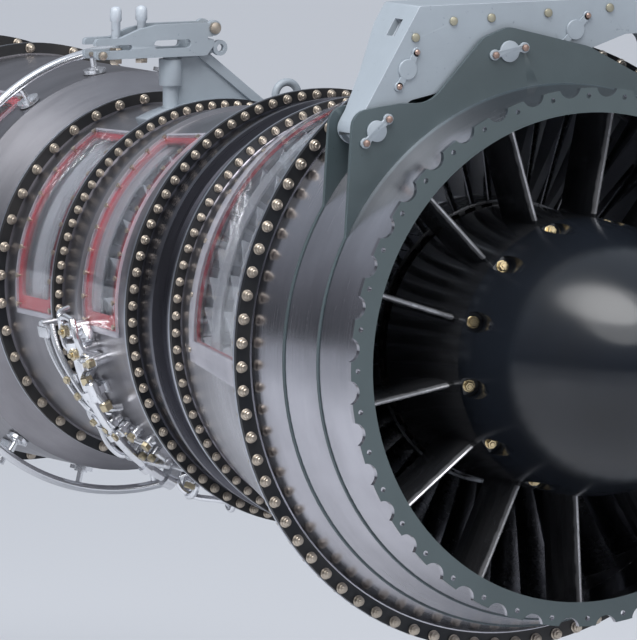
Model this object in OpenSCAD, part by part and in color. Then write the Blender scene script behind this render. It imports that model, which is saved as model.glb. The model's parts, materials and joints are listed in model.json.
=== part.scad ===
// Jet engine with windows cut in its casings.
// The axis runs along Y: air enters at y = 0 and leaves towards +Y. +Z is up.
// Angles round the axis start at the top and grow towards the left, seen from the front.

/* [Casing radii] */
// Inner radius of the intake opening
intake_r = 300; // [292:1:306]
// Wall of the intake casing at its front edge
intake_wall = 8.7; // [6:0.1:10]
// Outer radius of the casing at flange 1
r1 = 359.7; // [356:0.1:362]
// Outer radius of the casing at flange 2
r2 = 264; // [262:0.1:265]
// Outer radius of the casing in front of flange 3
r3 = 262; // [260:0.1:262.5]
// Outer radius of the casing behind flange 3
r3_rear = 255; // [252:0.1:258]
// Outer radius of the casing at flange 4
r4 = 229; // [227:0.1:230]
// Outer radius of the casing at flange 5
r5 = 225; // [223:0.1:226]
// Outer radius of the combustor casing
combustor_r = 262; // [258:1:268]
// Outer radius of the turbine casing
turbine_r = 262; // [258:1:266]
// Outer radius of the jet pipe's mouth
nozzle_r = 196; // [180:1:215]
// Wall of the rear casings
casing_wall = 8; // [7:0.1:9]

/* [Lengths from the intake face] */
// Joint plane of flange 1
f1_y = 204; // [202:0.1:206]
// Joint plane of flange 2
f2_y = 564; // [562:0.1:566]
// Joint plane of flange 3
f3_y = 684; // [682:0.1:686]
// Joint plane of flange 4
f4_y = 949.5; // [948:0.1:951]
// Joint plane of flange 5
f5_y = 1119; // [1117:0.1:1121]
// Joint plane of flange 6
f6_y = 1488; // [1484:1:1492]
// Joint plane of flange 7
f7_y = 1650; // [1646:1:1654]
// Joint plane of flange 8
f8_y = 1800; // [1796:1:1806]
// Rear edge of the jet pipe
nozzle_y = 2250; // [2200:1:2350]

/* [Flanges] */
// Thickness of each half of a flange
flange_t = 4.5; // [4:0.1:5]
// Bolt circle radius of flange 1
bolt1_r = 373.5; // [373:0.1:375]
// Bolt circle radius of flange 2
bolt2_r = 272.7; // [272:0.1:274]
// Bolt circle radius of flange 3
bolt3_r = 270.6; // [270:0.1:272]
// Bolt circle radius of flange 4
bolt4_r = 236.7; // [236.5:0.1:238]
// Bolt circle radius of flange 5
bolt5_r = 233.7; // [233.5:0.1:235]
// Width of the rim outside the bolt circle
rim_w = 6.6; // [6:0.1:8]
// Bolts in each of flanges 1 to 4
flange_bolts = 80; // [72:1:80]
// Bolts in flange 5
rear_bolts = 40; // [32:1:44]
// Bolts in each of flanges 6 to 8
hot_bolts = 26; // [24:1:36]

/* [Intake flange] */
// Outer radius over the lobes
lobe_r = 330; // [328:0.1:332]
// Radius of the hole circle
intake_hole_pcr = 320.4; // [319:0.1:321]
// Radius of each hole
intake_hole_r = 3.3; // [3:0.1:3.6]
// Number of lobes and holes
intake_holes = 40; // [36:1:44]
// Thickness of the flange
intake_flange_t = 7; // [6:0.1:9]
// Radius of the scallop between two lobes
scallop_r = 15; // [13:0.1:16]

/* [Inlet frame and nose] */
// Number of struts
struts = 13; // [11:1:15]
// Angle of the first strut
strut_a = 16.6; // [0:0.1:27]
// Thickness of a strut
strut_t = 10; // [8:0.1:13]
// Chord of a strut
strut_chord = 88; // [80:1:108]
// Front of the struts at the hub
strut_y = 40; // [36:1:44]
// Radius of the nose at its seam
nose_r = 170; // [168:0.1:172]
// Seam between the nose and the hub
nose_y = 22; // [20:0.1:24]
// Length of the nose in front of the seam
nose_len = 256; // [230:1:280]
// Wall of the nose
nose_wall = 4; // [3:0.1:5]
// Radius of a bolt pocket in the nose
pocket_r = 13; // [11:0.1:14]
// Radius at which the nose bolts sit
nose_bolt_r = 157; // [155:0.1:158]

/* [Mount ribs and yoke] */
// Middle of the front rib
rib1_y = 83.25; // [82:0.1:85]
// Middle of the rear rib
rib2_y = 141.8; // [140:0.1:143]
// Thickness of a rib
rib_t = 5; // [4:0.1:6]
// Depth of the groove that a rib sits in
rib_seat = 1.5; // [1:0.1:2.5]
// Height of the lug holes over the front edge of the casing
lug_h = 68.7; // [66:0.1:72]
// Angle of the outer lugs
lug_a = 41.7; // [41:0.1:42.4]
// Angle of the inner lug
lug_b = 10.1; // [9.6:0.1:10.6]
// Diameter of the lug pins
pin_d = 12; // [10:0.1:13]
// Height of the yoke's top face
yoke_top = 430.5; // [428:0.1:436]
// Wall of the yoke
yoke_wall = 5; // [4:0.1:6]
// Depth of the yoke along the axis at its top
yoke_depth = 87; // [80:1:95]

/* [Windows] */
// Thickness of a clear cover
cover_t = 4; // [3:0.1:5]
// Clearance under a clear cover
cover_gap = 0.2; // [0.1:0.05:0.3]
// Front edge of window 1
w1_y0 = 236; // [232:1:240]
// Rear edge of window 1
w1_y1 = 474; // [466:1:478]
// Upper end angle of window 1
w1_a0 = 14; // [13:0.5:16]
// Lower end angle of window 1
w1_a1 = 91.5; // [88:0.5:93]
// Front edge of window 2
w2_y0 = 774; // [770:1:778]
// Rear edge of window 2
w2_y1 = 861; // [855:1:867]
// Front edge of window 3
w3_y0 = 981; // [979:1:985]
// Rear edge of window 3
w3_y1 = 1065; // [1060:1:1069]
// Front edge of window 4
w4_y0 = 1250; // [1245:1:1256]
// Rear edge of window 4
w4_y1 = 1390; // [1380:1:1396]
// Upper end angle of windows 2 to 4
w_a0 = 33; // [30:1:36]
// Lower end angle of windows 2 to 4
w_a1 = 92; // [88:1:94]
// Cover margin in front of and behind windows 2 to 4
cover_lap = 13; // [11:0.5:14]
// Radius of a cover screw
screw_r = 1.5; // [1.2:0.1:1.6]

/* [Rotors] */
// Clearance of the blade tips
tip_gap = 1; // [0.5:0.1:1.5]
// Gap between fixed and turning rows
row_gap = 8; // [6:0.5:10]
// Outer radius of the inner shaft
shaft_r = 42; // [38:0.5:44]
// Bore of the inner shaft
shaft_bore = 30; // [24:0.5:32]
// Radial clearance of each bearing
bearing_gap = 0.05; // [0.02:0.01:0.1]
// Blades in the first disc
fan_blades = 44; // [38:1:46]

/* [Hidden] */

fine = 120;

polished = [0.72, 0.72, 0.75];
dark_paint = [0.3, 0.32, 0.34];
light_paint = [0.72, 0.74, 0.76];
black_gloss = [0.05, 0.05, 0.06];
dark_metal = [0.24, 0.24, 0.26];
clear = [0.85, 0.9, 0.95, 0.35];
gold_nut = [0.72, 0.66, 0.55];
bright = [0.8, 0.82, 0.84];

// Outer line of the casings, and the inner wall and hub of the air path
front_slope = (r1 - intake_r - intake_wall) / (f1_y - flange_t - 2);
outer_line = [
    [0, intake_r + intake_wall], [f1_y - flange_t - 2, r1], [f1_y + flange_t + 2, r1],
    [f2_y - flange_t, r2]
];
duct_r = 337;
// Gap between pieces that are seated on each other
seat_gap = 0.1;
duct_y0 = (duct_r - intake_r) / front_slope;
duct_y1 = f1_y + 62;
rear_line = [
    [f3_y + flange_t, r3_rear], [f4_y - flange_t, r4], [f4_y + flange_t, r4 + 2],
    [f5_y - flange_t, r5], [f5_y + flange_t + 6, r5 + 1], [f5_y + 80, combustor_r],
    [f6_y, combustor_r]
];
air_line = [
    [0, intake_r], [duct_y0, duct_r], [duct_y1, duct_r],
    [f2_y, r2 - casing_wall], [f3_y, r3_rear - casing_wall + 1],
    [f4_y, r4 - casing_wall], [f5_y, r5 - casing_wall]
];
hub_line = [
    [nose_y, nose_r], [f1_y, nose_r + 2], [f2_y, nose_r + 30], [f3_y, nose_r + 27],
    [f5_y, nose_r + 38]
];
function outer_at(y) = y < f2_y ? lookup(y, outer_line) : lookup(y, rear_line);
function air_at(y) = lookup(y, air_line);
function hub_at(y) = lookup(y, hub_line);

// Rows of blades and vanes: front and rear edge of each
front_rows = [[214, 262], [328, 372], [434, 474]];
front_vanes = [[272, 318], [382, 424], [484, 530]];
rear_count = 4;
rear_y0 = f3_y + 24;
rear_pitch = (f5_y - 60 - rear_y0) / rear_count;
rear_chord = rear_pitch / 2 - row_gap;

// Helpers
// A profile of [radius, y] points turned round the engine's axis
module turned(pts) rotate([-90, 0, 0]) rotate_extrude($fn = fine) polygon(pts);

// Part of a turn, from angle a0 to a1
module turned_part(pts, a0, a1)
    rotate([0, 270 - a1, 0]) rotate([-90, 0, 0])
        rotate_extrude(angle = a1 - a0, $fn = fine) polygon(pts);

module ring(ri, ro, y0, y1) turned([[ri, y0], [ro, y0], [ro, y1], [ri, y1]]);

// A round bar along the axis direction
module bar_y(r, y0, y1) translate([0, y0, 0]) rotate([-90, 0, 0]) cylinder(r = r, h = y1 - y0, $fn = 32);

module hex_y(across, y0, y1)
    translate([0, y0, 0]) rotate([-90, 0, 0]) cylinder(d = across / cos(30), h = y1 - y0, $fn = 6);

// Copies round the axis
module around(n, a0 = 0) for (i = [0 : n - 1]) rotate([0, -(a0 + i * 360 / n), 0]) children();

module at(a) rotate([0, -a, 0]) children();

function unit(v) = v / norm(v);

// Corner point list [x, y, radius] with each corner turned into an arc
function corner(p, q, s, r, n = 5) = r <= 0 ? [q] : let(
    a = unit(p - q), b = unit(s - q),
    half = acos(a * b) / 2,
    c = q + unit(a + b) * r / sin(half),
    u = q + a * r / tan(half) - c,
    v = q + b * r / tan(half) - c,
    a0 = atan2(u.y, u.x),
    turn = atan2(u.x * v.y - u.y * v.x, u * v)
) [for (i = [0 : n]) c + r * [cos(a0 + turn * i / n), sin(a0 + turn * i / n)]];

function rounded(pts) = let(n = len(pts), flat = [for (p = pts) [p.x, p.y]])
    [for (i = [0 : n - 1]) each corner(flat[(i + n - 1) % n], flat[i], flat[(i + 1) % n], pts[i][2])];

// A flat shape drawn in X and Z, made solid from y0 to y1
module plate_y(y0, y1) translate([0, y1, 0]) rotate([90, 0, 0]) linear_extrude(y1 - y0) children();

// One bolt along the axis, with its collar nut in front and its round head behind
module bolt_set(across, y0, y1, r) translate([0, 0, r]) {
    bar_y(across * 0.44, y0 - across * 0.66, y0);
    bar_y(across * 0.54, y0 - across * 0.2, y0);
    bar_y(across * 0.31, y0, y1);
    bar_y(across * 0.54, y1, y1 + across * 0.36);
}

module flange_bolts(n, a0, across, y, r) color(gold_nut)
    around(n, a0) bolt_set(across, y - flange_t, y + flange_t, r);

module bolt_holes(n, a0, r, hole, y0, y1) around(n, a0) translate([0, 0, r]) bar_y(hole, y0, y1);

function clear_r(across) = across * 0.31 + 0.3;

// Each window: front edge, rear edge, upper end, lower end, corner radius
windows = [
    [w1_y0, w1_y1, w1_a0, w1_a1, 14], [w2_y0, w2_y1, w_a0, w_a1, 9],
    [w3_y0, w3_y1, w_a0, w_a1, 9], [w4_y0, w4_y1, w_a0, w_a1, 9]
];
// Each cover: margins in front, behind, above and below; screw rows in front and behind; screws in a row
covers = [
    [12, 30, 5, 6, 6, 22, 7], [cover_lap, cover_lap, 4, 6, cover_lap / 2, cover_lap / 2, 10],
    [cover_lap, cover_lap, 4, 6, cover_lap / 2, cover_lap / 2, 8],
    [cover_lap, cover_lap, 4, 4, cover_lap / 2, cover_lap / 2, 5]
];

// Opening through a casing, milled square to its middle, with round corners
module window_cut(k) {
    w = windows[k];
    half = (w[3] - w[2]) / 2;
    x0 = outer_at(w[0]) * sin(half);
    x1 = outer_at(w[1]) * sin(half);
    at(w[2] + half) translate([0, 0, outer_at(w[1]) * cos(half) - 3 * casing_wall])
        linear_extrude(outer_at(w[0]))
        polygon(rounded([[-x0, w[0], w[4]], [x0, w[0], w[4]], [x1, w[1], w[4]], [-x1, w[1], w[4]]]));
}

// Clear cover bent over the casing's outside
module window_cover(k) color(clear) difference() {
    w = windows[k];
    c = covers[k];
    y0 = w[0] - c[0];
    y1 = w[1] + c[1];
    turned_part([
        [outer_at(y0) + cover_gap, y0], [outer_at(y0) + cover_gap + cover_t, y0],
        [outer_at(y1) + cover_gap + cover_t, y1], [outer_at(y1) + cover_gap, y1]
    ], w[2] - c[2], w[3] + c[3]);
    screw_holes(k);
}

// Places of a cover's screws, with +Z square to the casing
module at_screws(k) {
    w = windows[k];
    c = covers[k];
    a0 = w[2] - c[2] / 2;
    da = (w[3] + c[3] / 2 - a0) / (c[6] - 1);
    for (y = [w[0] - c[4], w[1] + c[5]]) for (i = [0 : c[6] - 1])
        at(a0 + i * da) translate([0, y, outer_at(y)])
            rotate([atan2(outer_at(y + 1) - outer_at(y - 1), 2), 0, 0]) children();
}
module screw_holes(k) at_screws(k) translate([0, 0, -6]) cylinder(r = screw_r + 0.2, h = 16, $fn = 16);
module cover_screws() color(gold_nut) for (k = [0 : 3]) at_screws(k) {
    translate([0, 0, cover_gap + cover_t + 0.25]) cylinder(r = 3.2, h = 2.2, $fn = 20);
    translate([0, 0, -5]) cylinder(r = screw_r, h = 6 + cover_gap + cover_t, $fn = 16);
}

// Intake
module intake_casing() color(polished) difference() {
    union() {
        turned([
            [intake_r, 0], [intake_r + intake_wall, 0], [r1, f1_y - flange_t - 2], [r1, f1_y - flange_t],
            [bolt1_r + rim_w, f1_y - flange_t], [bolt1_r + rim_w, f1_y], [duct_r, f1_y],
            [duct_r, duct_y0]
        ]);
        plate_y(0, intake_flange_t) difference() {
            circle(r = lobe_r, $fn = fine);
            circle(r = intake_r + intake_wall - 2, $fn = fine);
        }
    }
    around(intake_holes, 180 / intake_holes) translate([0, 0, lobe_r + scallop_r - 11])
        bar_y(scallop_r, -1, intake_flange_t + 0.01);
    bolt_holes(intake_holes, 0, intake_hole_pcr, intake_hole_r, -1, intake_flange_t + 3);
    bolt_holes(flange_bolts, 1.72, bolt1_r, clear_r(13), f1_y - flange_t - 1, f1_y + 1);
    for (y = [rib1_y, rib2_y])
        ring(outer_at(y) - rib_seat, outer_at(y) + 20, y - rib_t / 2 - 0.1, y + rib_t / 2 + 0.1);
}

// Symmetric aerofoil section, nose towards -y, chord from 0 to c
function strut_section(c, t) = let(n = 8) concat(
    [for (i = [0 : n]) let(x = i / n) [t / 2 * thick(x), c * x * x]],
    [for (i = [n - 1 : -1 : 1]) let(x = i / n) [-t / 2 * thick(x), c * x * x]]
);
function thick(x) = let(s = x * x)
    10 * (0.2969 * x - 0.126 * s - 0.3516 * s * s + 0.2843 * s * s * s - 0.1036 * s * s * s * s);

module inlet_frame() color(black_gloss) {
    y1 = f1_y - 6;
    difference() {
        union() {
            turned([
                [nose_r - 14, nose_y], [nose_r, nose_y], [hub_at(y1), y1], [hub_at(y1) - 6, y1],
                [hub_at(y1) - 6, nose_y + 8], [nose_r - 22, nose_y + 8], [nose_r - 22, nose_y]
            ]);
            // bearing carrier inside the hub
            turned([
                [bearing_r(1) + 1, y1 - 50], [hub_at(y1) - 4, y1 - 24], [hub_at(y1) - 4, y1 - 18],
                [bearing_r(1) + 10, y1 - 42], [bearing_r(1) + 10, y1 - 20], [bearing_r(1), y1 - 20],
                [bearing_r(1), y1 - 50]
            ]);
        }
        bolt_holes(struts, strut_a, nose_bolt_r, 3.4, nose_y - 1, nose_y + 12);
    }
}

// Struts, each seated on the hub and under the casing
module inlet_struts() color(black_gloss) intersection() {
    around(struts, strut_a) translate([0, strut_y, hub_at(strut_y) - 4])
        linear_extrude(duct_r) polygon(strut_section(strut_chord, strut_t));
    turned([
        [hub_at(nose_y) + seat_gap, nose_y], [air_at(nose_y) - seat_gap, nose_y],
        [duct_r - seat_gap, duct_y0], [duct_r - seat_gap, f1_y], [hub_at(f1_y) + seat_gap, f1_y]
    ]);
}

// Radius of the outside of bearing k's outer race
function bearing_r(k) = k < 3 ? shaft_r + 26 : shaft_r + 48;

// Nose shell: half an ellipse turned round the axis
function nose_curve(r, l) = [for (i = [0 : 12]) let(a = i * 7.5) [r * cos(a), nose_y - l * sin(a)]];

module nose_cone() color(black_gloss) difference() {
    union() {
        difference() {
            turned(concat(nose_curve(nose_r, nose_len)));
            turned(concat(
                [[0, nose_y + 1], [nose_r - nose_wall, nose_y + 1]],
                nose_curve(nose_r - nose_wall, nose_len - nose_wall)
            ));
        }
        intersection() {
            around(struts, strut_a) translate([0, 0, nose_bolt_r]) bar_y(pocket_r + 3, nose_y - 120, nose_y);
            turned(concat(
                [[nose_r - 40, nose_y]], nose_curve(nose_r, nose_len),
                [[0, nose_y - nose_len], [nose_r - 60, nose_y - 110]]
            ));
        }
    }
    around(struts, strut_a) translate([0, 0, nose_bolt_r]) {
        bar_y(pocket_r, nose_y - 130, nose_y - 8);
        bar_y(3.4, nose_y - 9, nose_y + 1);
    }
}

module nose_bolts() color(gold_nut) around(struts, strut_a) translate([0, 0, nose_bolt_r]) {
    bar_y(7.5, nose_y - 9.6, nose_y - 8);
    hex_y(10, nose_y - 16, nose_y - 9.6);
    bar_y(3, nose_y - 9.6, nose_y + 7.5);
}

// Mount ribs and yoke
lug_r = intake_r + intake_wall + lug_h;
lug_xa = lug_r * sin(lug_a);
lug_za = lug_r * cos(lug_a);
lug_xb = lug_r * sin(lug_b);
lug_zb = lug_r * cos(lug_b);

// Outline of a rib, as corners round the lugs from the left ear to the right one
function rib_outline(foot) = let(x = lug_xa, z = lug_za) [
    [-x - 42, z - 130, 0], [-x - 32, z + 24, 22], [-x + 6, z + 29, 16], [-x + 34, z + 32, 14],
    [-x + 76, z + 31, 40], [-lug_xb - 35, lug_zb + 18, 30], [-lug_xb, lug_zb + 30, 24],
    [lug_xb - 20, lug_zb + 2, 60], [lug_xb + 44, lug_zb - 32, 60], [x - 100, z + 42, 40],
    [x - 34, z + 32, 14], [x - 6, z + 29, 16], [x + 32, z + 24, 22], [x + 42, z - 130, 0],
    [x, foot, 0], [0, foot + 60, 0], [-x, foot, 0]
];

module mount_rib(y) {
    seat = outer_at(y) - rib_seat + 0.1;
    y0 = y - rib_t / 2;
    y1 = y + rib_t / 2;
    difference() {
        union() {
            difference() {
                plate_y(y0, y1) polygon(rounded(rib_outline(120)));
                ring(0, outer_at(y) - 0.5, y0 - 1, y1 + 1);
            }
            ring(seat, outer_at(y) + 1, y0 + 0.1, y1 - 0.1);
        }
        for (a = [lug_a, lug_b, -lug_a])
            at(a) translate([0, 0, lug_r]) bar_y(pin_d / 2 + 0.05, y - 10, y + 10);
        at_plates() for (s = [-1, 1]) translate([s * lobe_x, 0, 0]) bar_y(2.2, 1, rib_t + 6);
    }
}

module front_mount_rib() color(dark_paint) mount_rib(rib1_y);
module rear_mount_rib() color(dark_paint) mount_rib(rib2_y);

yoke_y0 = rib1_y + rib_t / 2 + 4;
yoke_y1 = rib2_y - rib_t / 2 - 2;

function yoke_leg(s) = let(x = lug_xa, z = lug_za) [
    [s * (x - 66), yoke_top, 4], [s * (x + 27), z - 2, 18], [s * (x + 6), z - 26, 18],
    [s * (x - 26), z - 2, 14], [s * (x - 51), z + 34, 14], [s * (x - 92), z + 42, 26]
];
function yoke_outline() = concat(
    yoke_leg(-1),
    [
        [-lug_xb - 34, lug_zb + 12, 10], [-lug_xb - 24, lug_zb - 20, 18], [-lug_xb + 22, lug_zb - 24, 18],
        [-lug_xb + 40, lug_zb + 8, 10], [12, lug_zb + 8, 12], [32, lug_zb - 9, 22],
        [104, lug_zb + 14, 20], [x_right, lug_zb + 14, 20]
    ],
    [for (i = [5 : -1 : 0]) yoke_leg(1)[i]]
);
x_right = lug_xa - 108;

side_dx = 93;
side_dz = yoke_top - lug_za + 2;
side_a = atan2(side_dx, side_dz);

// Space inside the yoke's walls, seen from the front
module yoke_inside() polygon([for (k = [[-1, 0], [1, 0], [1, 200], [-1, 200]])
    [
        k[0] * (lug_xa - 66 + (k[1] + yoke_wall) * tan(side_a) - yoke_wall / cos(side_a)),
        yoke_top - yoke_wall - k[1]
    ]
]);

module mount_yoke() color(light_paint) difference() {
    union() {
        difference() {
            plate_y(yoke_y0, yoke_y0 + yoke_depth) polygon(rounded(yoke_outline()));
            plate_y(yoke_y0 + yoke_wall, yoke_y1 - yoke_wall) yoke_inside();
            plate_y(yoke_y1, yoke_y0 + yoke_depth + 1) yoke_inside();
            // end walls get narrower towards the lugs
            rotate([90, 0, 90]) linear_extrude(3 * lug_xa, center = true) polygon([
                [yoke_y1, 200], [yoke_y0 + yoke_depth + 1, 200], [yoke_y0 + yoke_depth + 1, yoke_top - 26],
                [yoke_y0 + yoke_depth, yoke_top - 26], [yoke_y1 + 13, lug_za + 66], [yoke_y1, lug_za + 22]
            ]);
        }
        // bosses round the pins
        for (a = [lug_a, lug_b, -lug_a]) at(a) translate([0, 0, lug_r]) bar_y(15, yoke_y0 + 1, yoke_y1 - 1);
    }
    for (a = [lug_a, lug_b, -lug_a])
        at(a) translate([0, 0, lug_r]) bar_y(pin_d / 2 + 0.05, yoke_y0 - 5, yoke_y1 + 5);
    for (i = [0 : 4])
        translate([yoke_bolt_x(i), 0, yoke_bolt_z(i)]) bar_y(3.3, yoke_y0 - 1, yoke_y0 + yoke_wall + 1);
    for (s = [-1, 1]) yoke_slot(s);
}
// Square hole through a sloping end wall
module yoke_slot(s) mirror([s < 0 ? 0 : 1, 0, 0])
    translate([-lug_xa + 66, 0, yoke_top]) rotate([0, side_a, 0])
        translate([-4, yoke_y0 + 24, -44]) cube([yoke_wall + 8, 20, 24]);

function yoke_bolt_x(i) = [-0.508, -0.368, -0.228, -0.017, 0.213][i] * lug_r;
function yoke_bolt_z(i) = yoke_top - [34, 16, 14, 11, 8][i] - 4;

module yoke_bolts() color(gold_nut) for (i = [0 : 4]) translate([yoke_bolt_x(i), 0, yoke_bolt_z(i)]) {
    bar_y(5.5, yoke_y0 - 3, yoke_y0);
    bar_y(3, yoke_y0 - 1, yoke_y0 + yoke_wall + 2);
}

module lug_pins() color(bright) for (a = [lug_a, lug_b, -lug_a]) at(a) translate([0, 0, lug_r]) {
    bar_y(pin_d / 2, rib1_y - rib_t / 2, rib2_y + rib_t / 2 + 8);
    bar_y(pin_d / 2 + 3, rib2_y + rib_t / 2 + 0.2, rib2_y + rib_t / 2 + 4);
}

// Key plate: a disc over the pin and a small lobe at each end for a bolt
lobe_x = 21;
module at_plates() for (a = [lug_a, lug_b, -lug_a]) at(a)
    translate([0, rib1_y - rib_t / 2 - 3.7, lug_r]) children();
module lock_plates() color(light_paint) at_plates() difference() {
    plate_y(0, 3.5) union() {
        for (s = [-1, 1]) translate([s * lobe_x, 0]) circle(r = 6.5, $fn = 40);
        circle(r = 13, $fn = 40);
        square([2 * lobe_x, 8], center = true);
    }
    for (s = [-1, 1]) translate([s * lobe_x, 0, 0]) bar_y(2.2, -1, 5);
}
module lock_bolts() color(gold_nut) at_plates() for (s = [-1, 1]) translate([s * lobe_x, 0, 0]) {
    hex_y(8, -3.2, -0.1);
    bar_y(2, -1, 3.5 + rib_t);
}

// Casings
module front_compressor_casing() color(polished) difference() {
    turned([
        [duct_r, f1_y], [bolt1_r + rim_w, f1_y], [bolt1_r + rim_w, f1_y + flange_t], [r1, f1_y + flange_t],
        [r1, f1_y + flange_t + 2], [r2, f2_y - flange_t], [bolt2_r + rim_w - 1, f2_y - flange_t],
        [bolt2_r + rim_w - 1, f2_y], [air_at(f2_y), f2_y], [duct_r, duct_y1]
    ]);
    bolt_holes(flange_bolts, 1.72, bolt1_r, clear_r(13), f1_y - 1, f1_y + flange_t + 1);
    bolt_holes(flange_bolts, 1.72, bolt2_r, clear_r(10), f2_y - flange_t - 1, f2_y + 1);
    window_cut(0);
    screw_holes(0);
}

groove_r = 254;
module middle_casing() color(dark_metal) difference() {
    union() {
        turned([
            [air_at(f2_y), f2_y], [bolt2_r + rim_w - 1, f2_y], [bolt2_r + rim_w - 1, f2_y + flange_t],
            [bolt2_r - 7, f2_y + flange_t], [bolt2_r - 7, f2_y + 9.4], [bolt2_r + 2.4, f2_y + 10],
            [bolt2_r + 2.4, f2_y + 14], [groove_r + 6, f2_y + 16], [groove_r + 4, f2_y + 58],
            [bolt3_r + 0.6, f2_y + 61], [bolt3_r + 0.6, f2_y + 68], [r3, f2_y + 72],
            [r3, f3_y - flange_t], [bolt3_r + rim_w + 0.6, f3_y - flange_t],
            [bolt3_r + rim_w + 0.6, f3_y], [air_at(f3_y), f3_y]
        ]);
        // frame struts and inner hub that carry the shafts' bearings
        intersection() {
            around(9, 8) translate([0, f2_y + 14, hub_at(f2_y) - 8])
                linear_extrude(90) polygon(strut_section(f3_y - f2_y - 30, 12));
            ring(hub_at(f2_y) - 6, air_at(f2_y) + 2, f2_y + 4, f3_y - 4);
        }
        turned([
            [hub_at(f2_y) - 10, f2_y + 4], [hub_at(f2_y), f2_y + 4], [hub_at(f3_y), f3_y - 4],
            [hub_at(f3_y) - 10, f3_y - 4]
        ]);
        turned([
            [bearing_r(3), f3_y - 40], [bearing_r(3) + 10, f3_y - 40], [bearing_r(3) + 10, f3_y - 24],
            [hub_at(f3_y) - 9, f3_y - 30], [hub_at(f3_y) - 9, f3_y - 24], [bearing_r(3) + 10, f3_y - 18],
            [bearing_r(3) + 10, f3_y - 14], [bearing_r(3), f3_y - 14]
        ]);
    }
    bolt_holes(flange_bolts, 1.72, bolt2_r, clear_r(10), f2_y - 1, f2_y + flange_t + 1);
    bolt_holes(flange_bolts, 1.4, bolt3_r, clear_r(11), f3_y - flange_t - 1, f3_y + 1);
}

module rear_compressor_casing() color(polished) difference() {
    turned([
        [air_at(f3_y), f3_y], [bolt3_r + rim_w + 0.6, f3_y], [bolt3_r + rim_w + 0.6, f3_y + flange_t],
        [r3_rear, f3_y + flange_t], [lookup(w2_y1 + 24, rear_line), w2_y1 + 24],
        [lookup(w2_y1 + 24, rear_line) + 5, w2_y1 + 26], [lookup(w2_y1 + 24, rear_line) + 5, w2_y1 + 32],
        [lookup(w2_y1 + 34, rear_line), w2_y1 + 34], [r4, f4_y - flange_t],
        [bolt4_r + rim_w + 1, f4_y - flange_t], [bolt4_r + rim_w + 1, f4_y], [air_at(f4_y), f4_y]
    ]);
    bolt_holes(flange_bolts, 1.4, bolt3_r, clear_r(11), f3_y - 1, f3_y + flange_t + 1);
    bolt_holes(flange_bolts, 3.57, bolt4_r, clear_r(10), f4_y - flange_t - 1, f4_y + 1);
    window_cut(1);
    screw_holes(1);
}

module delivery_casing() color(polished) difference() {
    turned([
        [air_at(f4_y), f4_y], [bolt4_r + rim_w + 1, f4_y], [bolt4_r + rim_w + 1, f4_y + flange_t],
        [r4 + 2, f4_y + flange_t], [r5, f5_y - flange_t], [bolt5_r + rim_w + 0.8, f5_y - flange_t],
        [bolt5_r + rim_w + 0.8, f5_y], [air_at(f5_y), f5_y]
    ]);
    bolt_holes(flange_bolts, 3.57, bolt4_r, clear_r(10), f4_y - 1, f4_y + flange_t + 1);
    bolt_holes(rear_bolts, 5.8, bolt5_r, clear_r(12), f5_y - flange_t - 1, f5_y + 1);
    window_cut(2);
    screw_holes(2);
}

bolt6_r = combustor_r + 9;
bolt7_r = turbine_r + 9;
bolt8_r = turbine_r + 9;

module combustor_casing() color(polished) difference() {
    w = casing_wall - 2;
    turned([
        [air_at(f5_y), f5_y], [bolt5_r + rim_w + 0.8, f5_y], [bolt5_r + rim_w + 0.8, f5_y + flange_t],
        [r5 + 1, f5_y + flange_t], [r5 + 1, f5_y + flange_t + 6],
        [combustor_r, f5_y + 80], [combustor_r, f6_y - flange_t],
        [bolt6_r + rim_w, f6_y - flange_t], [bolt6_r + rim_w, f6_y], [combustor_r - w, f6_y],
        [combustor_r - w, f5_y + 82]
    ]);
    bolt_holes(rear_bolts, 5.8, bolt5_r, clear_r(12), f5_y - 1, f5_y + flange_t + 1);
    bolt_holes(hot_bolts, 0, bolt6_r, clear_r(12), f6_y - flange_t - 1, f6_y + 1);
    around(injectors, 9) translate([0, injector_y, combustor_r - 30]) cylinder(r = 9, h = 60, $fn = 32);
    for (a = igniter_angles)
        at(a) translate([0, injector_y + 70, combustor_r - 30]) cylinder(r = 8, h = 60, $fn = 32);
    window_cut(3);
    screw_holes(3);
}

injectors = 16;
injector_y = f5_y + 100;
igniter_angles = [150, 210];

module turbine_casing() color(dark_metal) difference() {
    w = casing_wall;
    turned([
        [combustor_r - casing_wall + 2, f6_y], [bolt6_r + rim_w, f6_y], [bolt6_r + rim_w, f6_y + flange_t],
        [turbine_r, f6_y + flange_t], [turbine_r, f7_y - flange_t], [bolt7_r + rim_w, f7_y - flange_t],
        [bolt7_r + rim_w, f7_y], [turbine_r - w, f7_y], [turbine_r - w, f6_y + 40], [turb_tip(f6_y), f6_y]
    ]);
    bolt_holes(hot_bolts, 0, bolt6_r, clear_r(12), f6_y - 1, f6_y + flange_t + 1);
    bolt_holes(hot_bolts, 0, bolt7_r, clear_r(12), f7_y - flange_t - 1, f7_y + 1);
}
function turb_tip(y) = turbine_r - casing_wall - 14 * max(0, (f6_y + 40 - y) / 40);
turb_hub = 182;

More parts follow.
